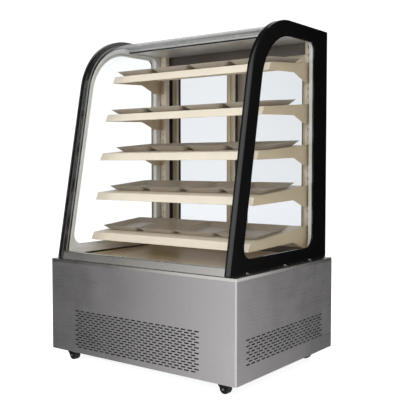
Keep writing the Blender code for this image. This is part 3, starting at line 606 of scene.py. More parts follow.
def prism(
    name: str, outlines: Sequence[Outline], plane: Plane, span: Sequence[float], edge: float = 0.0
) -> bpy.types.Mesh:
    """A flat outline extruded along its plane's normal.

    Args:
        name: Name of the mesh.
        outlines: The outer outline and any holes.
        plane: Plane of the outline.
        span: The two faces' places along the normal, in any order.
        edge: Radius on its long edges.

    Returns:
        The closed mesh.
    """
    low, high = sorted(span)
    bm = bevelled(slab(outlines, high - low), edge)
    for vert in bm.verts:
        local = {"u": vert.co.x, "v": vert.co.y, "w": vert.co.z + low}
        vert.co = [local[axis] for axis in plane.value]
    mesh = finished(bm, name)
    across = plane.value.index("w")
    for face in mesh.polygons:
        if abs(face.normal[across]) > FLAT:
            face.use_smooth = False
    return mesh


def block(name: str, low: Sequence[float], high: Sequence[float], edge: float) -> bpy.types.Mesh:
    """A moulded or sawn block between two corners, with rounded edges."""
    bm = bmesh.new()
    size = Vector(high) - Vector(low)
    middle = (Vector(low) + Vector(high)) / 2
    bmesh.ops.create_cube(bm, size=1.0, matrix=Matrix.Translation(middle) @ Matrix.Diagonal((*size, 1.0)))
    return finished(bevelled(bm, edge), name)


def loft(name: str, rings: Sequence[Ring], closed: bool, sharp: float = 35.0) -> bpy.types.Mesh:
    """A skin through rings of equal length.

    Args:
        name: Name of the mesh.
        rings: Rings in order along the skin.
        closed: True if the last ring joins the first, or False to cap both ends.
        sharp: Smooth shading up to this angle in degrees.

    Returns:
        The closed mesh.
    """
    bm = bmesh.new()
    rows = [[bm.verts.new(point) for point in ring] for ring in rings]
    pairs = list(zip(rows, rows[1:])) + ([(rows[-1], rows[0])] if closed else [])
    count = len(rows[0])
    for first, second in pairs:
        for i in range(count):
            j = (i + 1) % count
            bm.faces.new((first[i], first[j], second[j], second[i]))
    if not closed:
        bm.faces.new(rows[0][::-1])
        bm.faces.new(rows[-1])
    return finished(bm, name, sharp)


def turned(
    name: str, profile: Sequence[Point], centre: Sequence[float], axis: str, steps: int = 48
) -> bpy.types.Mesh:
    """A closed ring profile of (radius, height) points turned about an axis.

    Args:
        name: Name of the mesh.
        profile: Section points; one on the axis has a small radius.
        centre: Middle of the turned shape.
        axis: X, Y or Z.
        steps: Facets round the axis.

    Returns:
        The closed mesh.
    """
    turns = {"X": Matrix.Rotation(math.pi / 2, 4, "Y"), "Y": Matrix.Rotation(-math.pi / 2, 4, "X"),
             "Z": Matrix.Identity(4)}
    place = Matrix.Translation(centre) @ turns[axis]
    rings = []
    for radius, height in profile:
        ring = []
        for step in range(steps):
            angle = 2 * math.pi * step / steps
            ring.append(place @ Vector((radius * math.cos(angle), radius * math.sin(angle), height)))
        rings.append(ring)
    return loft(name, rings, closed=False)


def merged(name: str, meshes: Iterable[bpy.types.Mesh]) -> bpy.types.Mesh:
    """Several closed meshes in one, each with its own material number in order."""
    bm = bmesh.new()
    for number, mesh in enumerate(meshes):
        before = len(bm.faces)
        bm.from_mesh(mesh)
        bm.faces.ensure_lookup_table()
        for face in bm.faces[before:]:
            face.material_index = number
        bpy.data.meshes.remove(mesh)
    return finished(bm, name)


def add_piece(
    name: str, mesh: bpy.types.Mesh, finishes: Sequence[Finish], body: str = "cabinet",
    stands_for: Sequence[str] = (),
) -> bpy.types.Object:
    """Shows a mesh as a piece of the showcase.

    Args:
        name: Name of the piece.
        mesh: Its mesh, in the row frame.
        finishes: One finish for each of the mesh's material numbers.
        body: The frame's body that it rides on.
        stands_for: The frame's nodes that it replaces.

    Returns:
        The new object.
    """
    for finish in finishes:
        mesh.materials.append(finish.material())
    obj = bpy.data.objects.new(name, mesh)
    bpy.context.scene.collection.objects.link(obj)
    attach(obj, body)
    if stands_for:
        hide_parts(*stands_for)
    LOG.info("%s rides on %s", name, body)
    return obj


def dress_node(node: str, finish: Finish) -> None:
    """Gives one of the frame's own nodes a finish, and keeps its mesh."""
    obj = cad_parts[node]
    for place in obj.material_slots:
        place.link = "OBJECT"
        place.material = finish.material()


# The side profile

@dataclass(frozen=True)
class CaseProfile:
    """The side profile that the side panels, the front glass and its rail share."""

    lean: float = math.radians(10.84)
    arc_centre: Point = (0.050, 1.063)
    height: float = 1.327
    rear_y: float = 0.350

    @property
    def radius(self) -> float:
        """Radius of the outer arc."""
        return self.height - self.arc_centre[1]

    def front_y(self, inset: float, z: float) -> float:
        """Y of the leaning front line at a height, moved in by the inset."""
        radius = self.radius - inset
        touch_y = self.arc_centre[0] - radius * math.cos(self.lean)
        touch_z = self.arc_centre[1] + radius * math.sin(self.lean)
        return touch_y + (z - touch_z) * math.tan(self.lean)

    def outline(
        self, front: float, top: float, rear: float, bottom_z: float, radii: Sequence[float]
    ) -> Outline:
        """The panel's outline, moved in.

        Args:
            front: Inset of the leaning front.
            top: Inset of the top.
            rear: Inset of the rear edge.
            bottom_z: Height of the lower edge.
            radii: Radii of the lower front, upper rear and lower rear corners.

        Returns:
            The outline in (y, z).
        """
        top_z = self.height - top
        rear_y = self.rear_y - rear
        return rounded([
            (self.front_y(front, bottom_z), bottom_z, radii[0]),
            (self.front_y(front, top_z), top_z, self.radius - top),
            (rear_y, top_z, radii[1]),
            (rear_y, bottom_z, radii[2]),
        ])

    def curve(self, inset: float, bottom_z: float, top_y: float, steps: int = 40) -> Outline:
        """Points up the leaning line, round the arc and along the flat top.

        Args:
            inset: Distance in from the panel's edge.
            bottom_z: Height of the lower end.
            top_y: Y of the upper end.
            steps: Chords in the arc.

        Returns:
            An open path in (y, z).
        """
        radius = self.radius - inset
        start = math.pi - self.lean
        points = [(self.front_y(inset, bottom_z), bottom_z)]
        for step in range(steps + 1):
            angle = start + (math.pi / 2 - start) * step / steps
            reach_y = self.arc_centre[0] + radius * math.cos(angle)
            reach_z = self.arc_centre[1] + radius * math.sin(angle)
            points.append((reach_y, reach_z))
        return points + [(top_y, points[-1][1])]


PROFILE = CaseProfile()


# Base

@dataclass(frozen=True)
class LouvreField:
    """Rows of round-ended slots, every other row shifted by half a slot pitch."""

    middle: float
    columns: int
    pitch: float
    top_z: float
    rows: int
    row_pitch: float
    slot: Point
    last_offset: bool

    def outlines(self) -> list[Outline]:
        """The slots' outlines in (u, z)."""
        slots = []
        for row in range(self.rows):
            z = self.top_z - row * self.row_pitch
            slots += self.row(self.columns, z)
            if row < self.rows - 1 or self.last_offset:
                slots += self.row(self.columns - 1, z - self.row_pitch / 2)
        return slots

    def row(self, count: int, z: float) -> list[Outline]:
        """One row of that many slots, centred."""
        first = self.middle - (count - 1) * self.pitch / 2
        return [stadium(first + i * self.pitch, z, *self.slot) for i in range(count)]


@dataclass
class StainlessBase:
    """The stainless cabinet that holds the refrigeration, with louvred sides."""

    half_width: float = 0.450
    half_depth: float = 0.350
    bottom: float = 0.050
    top: float = 0.4037
    trim_top: float = 0.416
    sheet: float = 0.0015
    corner: float = 0.005
    hem: float = 0.012
    rear_y: float = 0.3455
    front_field: LouvreField = LouvreField(-0.010, 21, 0.0295, 0.217, 8, 0.0190, (0.0215, 0.0050), True)
    side_field: LouvreField = LouvreField(-0.012, 17, 0.0331, 0.1976, 5, 0.0214, (0.0245, 0.0050), False)
    rear_field: LouvreField = LouvreField(-0.012, 17, 0.0331, 0.1976, 5, 0.0214, (0.0245, 0.0050), False)
    cutouts: tuple = ((0.250, 0.360, 0.0360, 0.0145), (0.150, 0.360, 0.0100, 0.0135),
                      (-0.380, 0.120, 0.0140, 0.0100))

    def build(self) -> None:
        """Builds the panels, the trim, the deck and the fixings."""
        self.build_front()
        self.build_sides()
        self.build_rear()
        self.build_trim()
        self.build_deck()
        self.build_clips()
        self.build_shade_felts()
        dress_node("base_pan", ZINC_PLATE)

    def folded(
        self, outlines: Sequence[Outline], bends: Sequence[tuple[int, float, float]]
    ) -> bmesh.types.BMesh:
        """A flat sheet in (u, z, depth) with its ends folded back.

        Args:
            outlines: The sheet's outline and holes, as (u, z).
            bends: For each fold, its side (-1 or 1), where along u it starts and its radius.

        Returns:
            The folded bmesh.
        """
        bm = slab(outlines, self.sheet)
        steps = 5
        for side, start, radius in bends:
            for step in range(steps + 1):
                place = side * (start + radius * math.pi / 2 * step / steps)
                geometry = bm.verts[:] + bm.edges[:] + bm.faces[:]
                bmesh.ops.bisect_plane(bm, geom=geometry, plane_co=(place, 0, 0), plane_no=(1, 0, 0))
            for vert in bm.verts:
                over = side * vert.co.x - start
                if over <= 1e-7:
                    continue
                angle = min(over / radius, math.pi / 2)
                beyond = max(over - radius * math.pi / 2, 0.0)
                reach = radius - vert.co.z
                vert.co.x = side * (start + reach * math.sin(angle))
                vert.co.z = radius - reach * math.cos(angle) + beyond
        return bm

    def set_up(self, name: str, bm: bmesh.types.BMesh, corner: Sequence[float], along: Sequence[float],
               inward: Sequence[float]) -> bpy.types.Mesh:
        """Stands a folded sheet up in the frame.

        Args:
            name: Name of the mesh.
            bm: Sheet in (u, z, depth).
            corner: Point of u = 0, z = 0 and depth = 0.
            along: Direction of u.
            inward: Direction of depth.

        Returns:
            The finished mesh.
        """
        for vert in bm.verts:
            u, z, depth = vert.co
            vert.co = Vector(corner) + Vector(along) * u + Vector(inward) * depth + Vector((0, 0, z))
        mesh = finished(bm, name)
        for face in mesh.polygons:
            if max(abs(part) for part in face.normal) > FLAT:
                face.use_smooth = False
        return mesh

    def build_front(self) -> None:
        """The front panel, which folds round both front corners."""
        start = self.half_width - self.corner
        reach = start + self.corner * math.pi / 2 + 0.003
        sheet = rectangle(-reach, reach, self.bottom, self.top)
        bends = [(-1, start, self.corner), (1, start, self.corner)]
        bm = self.folded([sheet, *self.front_field.outlines()], bends)
        mesh = self.set_up("front", bm, (0, -self.half_depth, 0), (1, 0, 0), (0, 1, 0))
        add_piece("front_louvred_panel", mesh, [STEEL_ALONG_X],
                  stands_for=["base_front_panel"])

    def build_sides(self) -> None:
        """The side panels, each with a hem folded inward at the rear."""
        front = -self.half_depth + self.corner + 0.0033
        radius = 0.003
        start = self.half_depth - radius
        reach = start + radius * math.pi / 2 + self.hem
        sheet = rectangle(front, reach, self.bottom, self.top)
        for side, sign in SIDES:
            bm = self.folded([sheet, *self.side_field.outlines()], [(1, start, radius)])
            corner = (sign * self.half_width, 0, 0)
            mesh = self.set_up(side, bm, corner, (0, 1, 0), (-sign, 0, 0))
            add_piece(f"{side}_louvred_panel", mesh, [STEEL_ALONG_Y],
                      stands_for=[f"base_{side}_panel"])

    def build_rear(self) -> None:
        """The rear panel with its vents, cut-outs and screws."""
        half = self.half_width - self.sheet - 0.0003
        sheet = rectangle(-half, half, self.bottom, self.top)
        holes = [rectangle(x - w, x + w, z - h, z + h, 0.001) for x, z, w, h in self.cutouts]
        bm = self.folded([sheet, *self.rear_field.outlines(), *holes], [])
        mesh = self.set_up("rear", bm, (0, self.rear_y, 0), (1, 0, 0), (0, -1, 0))
        add_piece("rear_vented_panel", mesh, [STEEL_ALONG_X],
                  stands_for=["base_rear_panel"])
        screws = []
        for x in (-0.420, -0.140, 0.140, 0.420):
            for z in (0.066, 0.388):
                screws.append(screw_head((x, self.rear_y + 0.0001, z), 0.0035, 1))
        add_piece("rear_panel_screws", merged("screws", screws), [TRIM_STEEL] * len(screws))

    def build_trim(self) -> None:
        """The trim frame: a folded sheet with a rounded top edge, round the well."""
        low = self.trim_top - 0.012
        under = self.trim_top - self.sheet
        well = (0.340, 0.275, 0.005)
        sections = [(0.0, low), (0.0, self.trim_top - 0.003), (0.0009, self.trim_top - 0.0009),
                    (0.003, self.trim_top)]
        outer = [self.ring(inset, z) for inset, z in sections]
        inner = [
            rectangle_ring(well[0], well[1], 0.004, (0.0, well[2], self.trim_top)),
            rectangle_ring(well[0], well[1], 0.004, (0.0, well[2], under)),
        ]
        back = [self.ring(self.sheet, under), self.ring(self.sheet, low)]
        mesh = loft("trim", outer + inner + back, closed=True)
        add_piece("deck_trim_frame", mesh, [TRIM_STEEL], stands_for=["deck_trim"])

    def ring(self, inset: float, z: float) -> Ring:
        """The base's plan outline at a height, moved in by the inset."""
        radius = max(self.corner - inset, 0.001)
        return rectangle_ring(self.half_width - inset, self.half_depth - inset, radius, (0.0, 0.0, z))

    def build_deck(self) -> None:
        """The display floor: a shallow stainless pan with rounded corners."""
        low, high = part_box("display_deck")
        middle = (low + high) / 2
        half = (high - low) / 2
        wall = self.sheet
        rings = []
        steps = ((0.0, 0.0), (0.0, 1.0), (wall, 1.0), (wall, 0.55), (0.004, 0.28), (0.010, 0.24))
        for inset, share in steps:
            centre = (middle.x, middle.y, low.z + (high.z - low.z) * share)
            rings.append(rectangle_ring(half.x - inset, half.y - inset, 0.003 + inset, centre))
        mesh = loft("deck", rings, closed=False)
        add_piece("display_floor_pan", mesh, [DECK_STEEL_WARM_REFLECTION], stands_for=["display_deck"])

    def build_shade_felts(self) -> None:
        """Black felt behind the front and side louvres, as painted shade for the dark inside of the base."""
        near, far = 0.0022, 0.0030
        felt = rectangle(-0.325, 0.305, 0.0695, 0.2250, 0.002)
        faces = (-self.half_depth + near, -self.half_depth + far)
        add_piece("front_shade_felt", prism("felt", [felt], Plane.XZ, faces), [SHADE_FELT])
        for side, sign in SIDES:
            felt = rectangle(-0.305, 0.281, 0.1000, 0.2090, 0.002)
            faces = (sign * (self.half_width - near), sign * (self.half_width - far))
            mesh = prism("felt", [felt], Plane.YZ, faces)
            add_piece(f"{side}_shade_felt", mesh, [SHADE_FELT])

    def build_clips(self) -> None:
        """Small folded clips that hold each side panel down on the trim."""
        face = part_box("side_frame_right")[1].x
        for side, sign in SIDES:
            for number, y in enumerate((-0.242, 0.016, 0.210), 1):
                path = [(sign * (face + 0.0105), self.trim_top + 0.0013),
                        (sign * (face + 0.0015), self.trim_top + 0.0013),
                        (sign * (face + 0.0015), self.trim_top + 0.0052)]
                section = folded_sheet(path, 0.0011 * sign, 0.0012)
                strip = prism("clip", [section], Plane.XZ, (y - 0.006, y + 0.006), 0.0003)
                head = screw_head((sign * (face + 0.0064), y, self.trim_top + 0.0014), 0.0024, 2)
                mesh = merged("clip", [strip, head])
                add_piece(f"{side}_panel_clip_{number}", mesh, [TRIM_STEEL] * 2)


def rectangle_ring(half_x: float, half_y: float, radius: float, centre: Sequence[float]) -> Ring:
    """A level rounded rectangle as a ring of points.

    Args:
        half_x: Half its width.
        half_y: Half its depth.
        radius: Corner radius.
        centre: Its middle.

    Returns:
        The ring, with the same number of points for any size.
    """
    flat = rectangle(-half_x, half_x, -half_y, half_y, radius)
    return [Vector((centre[0] + x, centre[1] + y, centre[2])) for x, y in flat]


def screw_head(centre: Sequence[float], radius: float, axis: int) -> bpy.types.Mesh:
    """A domed screw head with a hollow drive.

    Args:
        centre: Middle of its seat.
        radius: Head radius.
        axis: 1 if it faces +Y or 2 if it faces +Z.

    Returns:
        The closed mesh.
    """
    dome = [(radius, 0.0), (radius, 0.25), (radius * 0.85, 0.55), (radius * 0.55, 0.72),
            (radius * 0.34, 0.74), (radius * 0.28, 0.30), (radius * 0.05, 0.28)]
    profile = [(r, h * radius * 0.8) for r, h in dome]
    return turned("screw", profile, centre, "Y" if axis == 1 else "Z", 16)


# Controls on the rear panel

@dataclass
class RearControls:
    """The thermostat, the lamp switch and the power inlet."""

    face_y: float = 0.3455

    def build(self) -> None:
        """Builds the three controls."""
        self.build_thermostat()
        self.build_switch()
        self.build_inlet()

    def facing_ring(self, half_x: float, half_z: float, radius: float, centre: Sequence[float]) -> Ring:
        """A rounded rectangle that faces the rear, as a ring."""
        return [
            Vector((centre[0] + x, centre[1], centre[2] + z))
            for x, z in rectangle(-half_x, half_x, -half_z, half_z, radius)
        ]

    def bezel(self, name: str, half: Point, window: Point, centre: Point) -> bpy.types.Mesh:
        """A moulded surround with a sunk window.

        Args:
            name: Name of the mesh.
            half: Half sizes of its rim.
            window: Half sizes of its sunk window.
            centre: Its middle as (x, z).

        Returns:
            The closed mesh.
        """
        sections = [
            (half, 0.003, 0.0003), (half, 0.003, 0.0024), ((half[0] - 0.002, half[1] - 0.002), 0.002, 0.0040),
            ((window[0] + 0.0006, window[1] + 0.0006), 0.001, 0.0040), (window, 0.001, 0.0015),
        ]
        rings = [
            self.facing_ring(size[0], size[1], radius, (centre[0], self.face_y + proud, centre[1]))
            for size, radius, proud in sections
        ]
        return loft(name, rings, closed=False)

    def build_thermostat(self) -> None:
        """The thermostat: bezel, dark window, three keys and its housing."""
        low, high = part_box("thermostat")
        x = (low.x + high.x) / 2
        z = (low.z + high.z) / 2
        bezel = self.bezel("thermostat", (0.039, 0.0175), (0.035, 0.0135), (x, z))
        housing = block("housing", (x - 0.0355, low.y, z - 0.014),
                        (x + 0.0355, self.face_y, z + 0.014), 0.001)
        mesh = merged("thermostat", [bezel, housing])
        add_piece("thermostat_bezel", mesh, [BLACK_PLASTIC] * 2, stands_for=["thermostat"])
        glass = block("window", (x - 0.031, self.face_y + 0.0016, z - 0.006),
                      (x + 0.006, self.face_y + 0.0032, z + 0.010), 0.0005)
        add_piece("thermostat_window", glass, [DISPLAY_WINDOW])
        for number in range(3):
            across = x + 0.0125 + number * 0.0085
            centre = (across, self.face_y + 0.0015, z + 0.002)
            profile = [(0.0030, 0.0), (0.0030, 0.0012), (0.0024, 0.0018), (0.0003, 0.0021)]
            key = turned("key", profile, centre, "Y", 20)
            add_piece(f"thermostat_key_{number + 1}", key, [SEAL_RUBBER])

    def build_switch(self) -> None:
        """The rocker keeps its own mesh, in a rim."""
        dress_node("lamp_switch", BLACK_PLASTIC)
        low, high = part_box("lamp_switch")
        x = (low.x + high.x) / 2
        z = (low.z + high.z) / 2
        sections = [(0.0130, 0.0178, 0.0003), (0.0130, 0.0178, 0.0016), (0.0118, 0.0166, 0.0024),
                    (0.0096, 0.0146, 0.0024), (0.0096, 0.0146, 0.0003)]
        rings = [
            self.facing_ring(half_x, half_z, 0.0015, (x, self.face_y + proud, z))
            for half_x, half_z, proud in sections
        ]
        add_piece("lamp_switch_rim", loft("rim", rings, closed=True), [BLACK_PLASTIC])

    def build_inlet(self) -> None:
        """The inlet keeps its own mesh, with three blades in its socket."""
        dress_node("power_inlet", BLACK_PLASTIC)
        low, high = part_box("power_inlet")
        x = (low.x + high.x) / 2
        z = (low.z + high.z) / 2
        blades = []
        for across, up in ((-0.0070, -0.0015), (0.0, 0.0020), (0.0070, -0.0015)):
            corner_low = (x + across - 0.0010, 0.3255, z + up - 0.0020)
            corner_high = (x + across + 0.0010, self.face_y - 0.0030, z + up + 0.0020)
            blades.append(block("blade", corner_low, corner_high, 0.0004))
        add_piece("inlet_blades", merged("blades", blades), [TRIM_STEEL] * 3)


# Casters

@dataclass
class SwivelCaster:
    """A pressed swivel fork, its wheel, and a pedal on a braked one."""

    tag: str
    trail: float = 0.008
    wheel_radius: float = 0.019
    fork_half: float = 0.018
    cheek: float = 0.0023

    def build(self) -> None:
        """Builds the fork, the wheel and any pedal."""
        low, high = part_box(f"caster_wheel_{self.tag}")
        axle = (low + high) / 2
        self.build_fork(axle)
        self.build_wheel(axle)
        pedal = f"brake_pedal_{self.tag}"
        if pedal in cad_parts:
            self.build_pedal(pedal)

    def build_fork(self, axle: Vector) -> None:
        """Two cheeks under a swivel race, with a bolt through them."""
        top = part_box(f"caster_fork_{self.tag}")[1].z
        pivot_x = axle.x + self.trail
        leg = rounded([
            (pivot_x + 0.010, top - 0.0036, 0.001),
            (axle.x + 0.0060, 0.0115, 0.004),
            (axle.x - 0.0060, 0.0115, 0.004),
            (pivot_x - 0.0315, 0.0340, 0.002),
            (pivot_x - 0.0315, top - 0.0036, 0.001),
        ], 4)
        shapes = []
        for sign in (-1, 1):
            faces = (axle.y + sign * self.fork_half, axle.y + sign * (self.fork_half - self.cheek))
            shapes.append(prism("cheek", [leg], Plane.XZ, faces, 0.0005))
        bridge = rectangle(pivot_x - 0.0315, pivot_x + 0.010, axle.y - self.fork_half,
                           axle.y + self.fork_half, 0.003)
        shapes.append(prism("bridge", [bridge], Plane.XY, (0.0412, top - 0.0034), 0.0005))
        race = [(0.0170, -0.0030), (0.0175, -0.0020), (0.0175, -0.0008), (0.0160, 0.0), (0.0005, 0.0)]
        under = [(0.0005, -0.0034), (0.0160, -0.0034)]
        shapes.append(turned("race", under + race, (pivot_x, axle.y, top), "Z", 40))
        bolt = [(0.0005, -0.0200), (0.0042, -0.0200), (0.0048, -0.0193), (0.0048, -0.0181),
                (0.0029, -0.0181), (0.0029, 0.0181), (0.0048, 0.0181), (0.0048, 0.0193),
                (0.0042, 0.0200), (0.0005, 0.0200)]
        shapes.append(turned("bolt", bolt, axle, "Y", 24))
        finishes = [BLACK_PLATE] * 4 + [ZINC_PLATE]
        add_piece(f"fork_{self.tag}", merged("fork", shapes), finishes,
                  f"caster_{self.tag}", [f"caster_fork_{self.tag}"])

    def build_wheel(self, axle: Vector) -> None:
        """A rubber tread on a moulded hub with a dished web."""
        radius = self.wheel_radius
        tread = [(0.0133, 0.0138), (radius - 0.0028, 0.0140), (radius - 0.0008, 0.0122), (radius, 0.0095),
                 (radius, -0.0095), (radius - 0.0008, -0.0122), (radius - 0.0028, -0.0140),
                 (0.0133, -0.0138)]
        hub = [(0.0032, 0.0140), (0.0058, 0.0140), (0.0066, 0.0100), (0.0118, 0.0100), (0.0132, 0.0134),
               (0.0132, -0.0134), (0.0118, -0.0100), (0.0066, -0.0100), (0.0058, -0.0140),
               (0.0032, -0.0140)]
        shapes = [self.turned_ring("tread", tread, axle), self.turned_ring("hub", hub, axle)]
        add_piece(f"wheel_{self.tag}", merged("wheel", shapes), [WHEEL_RUBBER, BLACK_PLASTIC],
                  f"wheel_{self.tag}", [f"caster_wheel_{self.tag}"])

    def turned_ring(self, name: str, profile: Sequence[Point], axle: Vector) -> bpy.types.Mesh:
        """A ring section turned about the axle."""
        steps = 48
        rings = []
        for step in range(steps):
            angle = 2 * math.pi * step / steps
            rings.append([
                Vector((axle.x + r * math.cos(angle), axle.y + h, axle.z + r * math.sin(angle)))
                for r, h in profile
            ])
        return loft(name, rings, closed=True)

    def build_pedal(self, node: str) -> None:
        """The brake pedal: a moulded lever with grip ribs."""
        low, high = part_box(node)
        back = [(high.x, low.z + 0.0005), (high.x, high.z - 0.0025), (low.x + 0.010, high.z - 0.0018),
                (low.x, high.z), (low.x, high.z - 0.0030), (low.x + 0.010, low.z)]
        shapes = [prism("pedal", [back], Plane.XZ, (low.y, high.y), 0.0007)]
        for number in range(3):
            x = low.x + 0.0020 + number * 0.0028
            shapes.append(block("rib", (x, low.y + 0.0015, high.z - 0.0030),
                                (x + 0.0010, high.y - 0.0015, high.z - 0.0002), 0.0003))
        add_piece(f"pedal_{self.tag}", merged("pedal", shapes), [BLACK_PLASTIC] * 4,
                  f"pedal_{self.tag}", [node])


# Glazed case

@dataclass
class SidePanel:
    """A side panel: printed glass border, clear window, edge trim and inner spacer."""

    side: str
    sign: int
    outer_x: float = 0.420
    plate: float = 0.006
    inner_x: float = 0.396
    foot_z: float = 0.4163
    trim_depth: float = 0.0148
    trim_front: float = 0.0300

    def build(self) -> None:
        """Builds the four layers of the panel."""
        outline = PROFILE.outline(0.0, 0.0, 0.0, self.foot_z, (0.004, 0.003, 0.003))
        window = PROFILE.outline(0.066, 0.058, 0.112, 0.467, (0.038, 0.025, 0.050))
        step_x = self.outer_x - self.plate
        border = prism("border", [outline, window], Plane.YZ,
                       (self.sign * self.outer_x, self.sign * step_x), 0.0016)
        for face in border.polygons:
            outward = face.normal.x * self.sign
            if outward < -0.9:
                face.material_index = 1
            elif outward < 0.98:
                face.material_index = 2
        add_piece(f"{self.side}_printed_border", border, [BLACK_PRINT, SPACER_ALUMINIUM, BLACK_ARRIS],
                  stands_for=[f"side_frame_{self.side}"])
        self.build_pane(step_x)
        self.build_edge(step_x)

    def build_pane(self, step_x: float) -> None:
        """The clear window pane, flush in the border."""
        pane = PROFILE.outline(0.0663, 0.0583, 0.1123, 0.4673, (0.038, 0.025, 0.050))
        faces = (self.sign * (self.outer_x - 0.0003), self.sign * (step_x + 0.001))
        mesh = prism("pane", [pane], Plane.YZ, faces)
        add_piece(f"{self.side}_window_pane", mesh, [CLEAR_GLASS],
                  stands_for=[f"side_glass_{self.side}"])

    def build_edge(self, step_x: float) -> None:
        """The black edge trim round the panel, and the light spacer behind the border."""
        front = self.trim_front
        depth = self.trim_depth
        outline = PROFILE.outline(0.0, 0.0, 0.0, self.foot_z, (0.004, 0.003, 0.003))
        inside = PROFILE.outline(front, front, depth, self.foot_z + depth, (0.003, 0.003, 0.003))
        faces = (self.sign * (step_x - 0.0003), self.sign * self.inner_x)
        trim = prism("trim", [outline, inside], Plane.YZ, faces, 0.0022)
        add_piece(f"{self.side}_edge_trim", trim, [BLACK_ARRIS])
        gap = 0.0003
        rim = PROFILE.outline(front + gap, front + gap, depth + gap, self.foot_z + depth + gap,
                              (0.003, 0.003, 0.003))
        clear = PROFILE.outline(0.037, 0.050, 0.106, 0.452, (0.030, 0.020, 0.040))
        spacer = prism("spacer", [rim, clear], Plane.YZ, faces, 0.0006)
        add_piece(f"{self.side}_inner_spacer", spacer, [SPACER_ALUMINIUM],
                  stands_for=[f"side_frame_{self.side}"])


@dataclass
class FrontGlazing:
    """The curved front glass, its polished ends and the rail that holds its foot."""

    half_width: float = 0.3955
    inset: float = 0.015
    thickness: float = 0.006
    foot_z: float = 0.4305
    top_y: float = 0.066
    print_depth: float = 0.012
    rail_top: float = 0.445
    deck_z: float = 0.4163

    def build(self) -> None:
        """Builds the glass and its rail."""
        outer = PROFILE.curve(self.inset, self.foot_z, self.top_y)
        inner = PROFILE.curve(self.inset + self.thickness, self.foot_z, self.top_y)
        mesh = prism("glass", [outer + inner[::-1]], Plane.YZ, (-self.half_width, self.half_width))
        self.mark_edges(mesh)
        add_piece("curved_front_glass", mesh, [CLEAR_GLASS, GLASS_EDGE, BLACK_PRINT],
                  stands_for=["front_glass"])
        self.build_rail()

    def mark_edges(self, mesh: bpy.types.Mesh) -> None:
        """Marks the two polished ends, and the black print along the upper edge."""
        for face in mesh.polygons:
            if abs(face.normal.x) > 0.9:
                face.material_index = 1
            elif face.center.y > self.top_y - self.print_depth:
                face.material_index = 2

    def build_rail(self) -> None:
        """The folded rail with its glazing groove."""
        groove = (self.inset - 0.0003, self.inset + self.thickness + 0.0003)
        groove_z = self.foot_z - 0.0003
        corners = [
            (0.004, self.deck_z, 0.0), (0.004, self.rail_top, 0.003), (groove[0], self.rail_top, 0.0),
            (groove[0], groove_z, 0.0), (groove[1], groove_z, 0.0), (groove[1], self.rail_top, 0.0),
            (0.030, self.rail_top, 0.002), (0.030, self.deck_z, 0.0),
        ]
        outline = rounded([(PROFILE.front_y(inset, z), z, radius) for inset, z, radius in corners])
        mesh = prism("rail", [outline], Plane.YZ, (-self.half_width, self.half_width))
        add_piece("front_foot_rail", mesh, [TRIM_STEEL], stands_for=["front_glass_rail"])


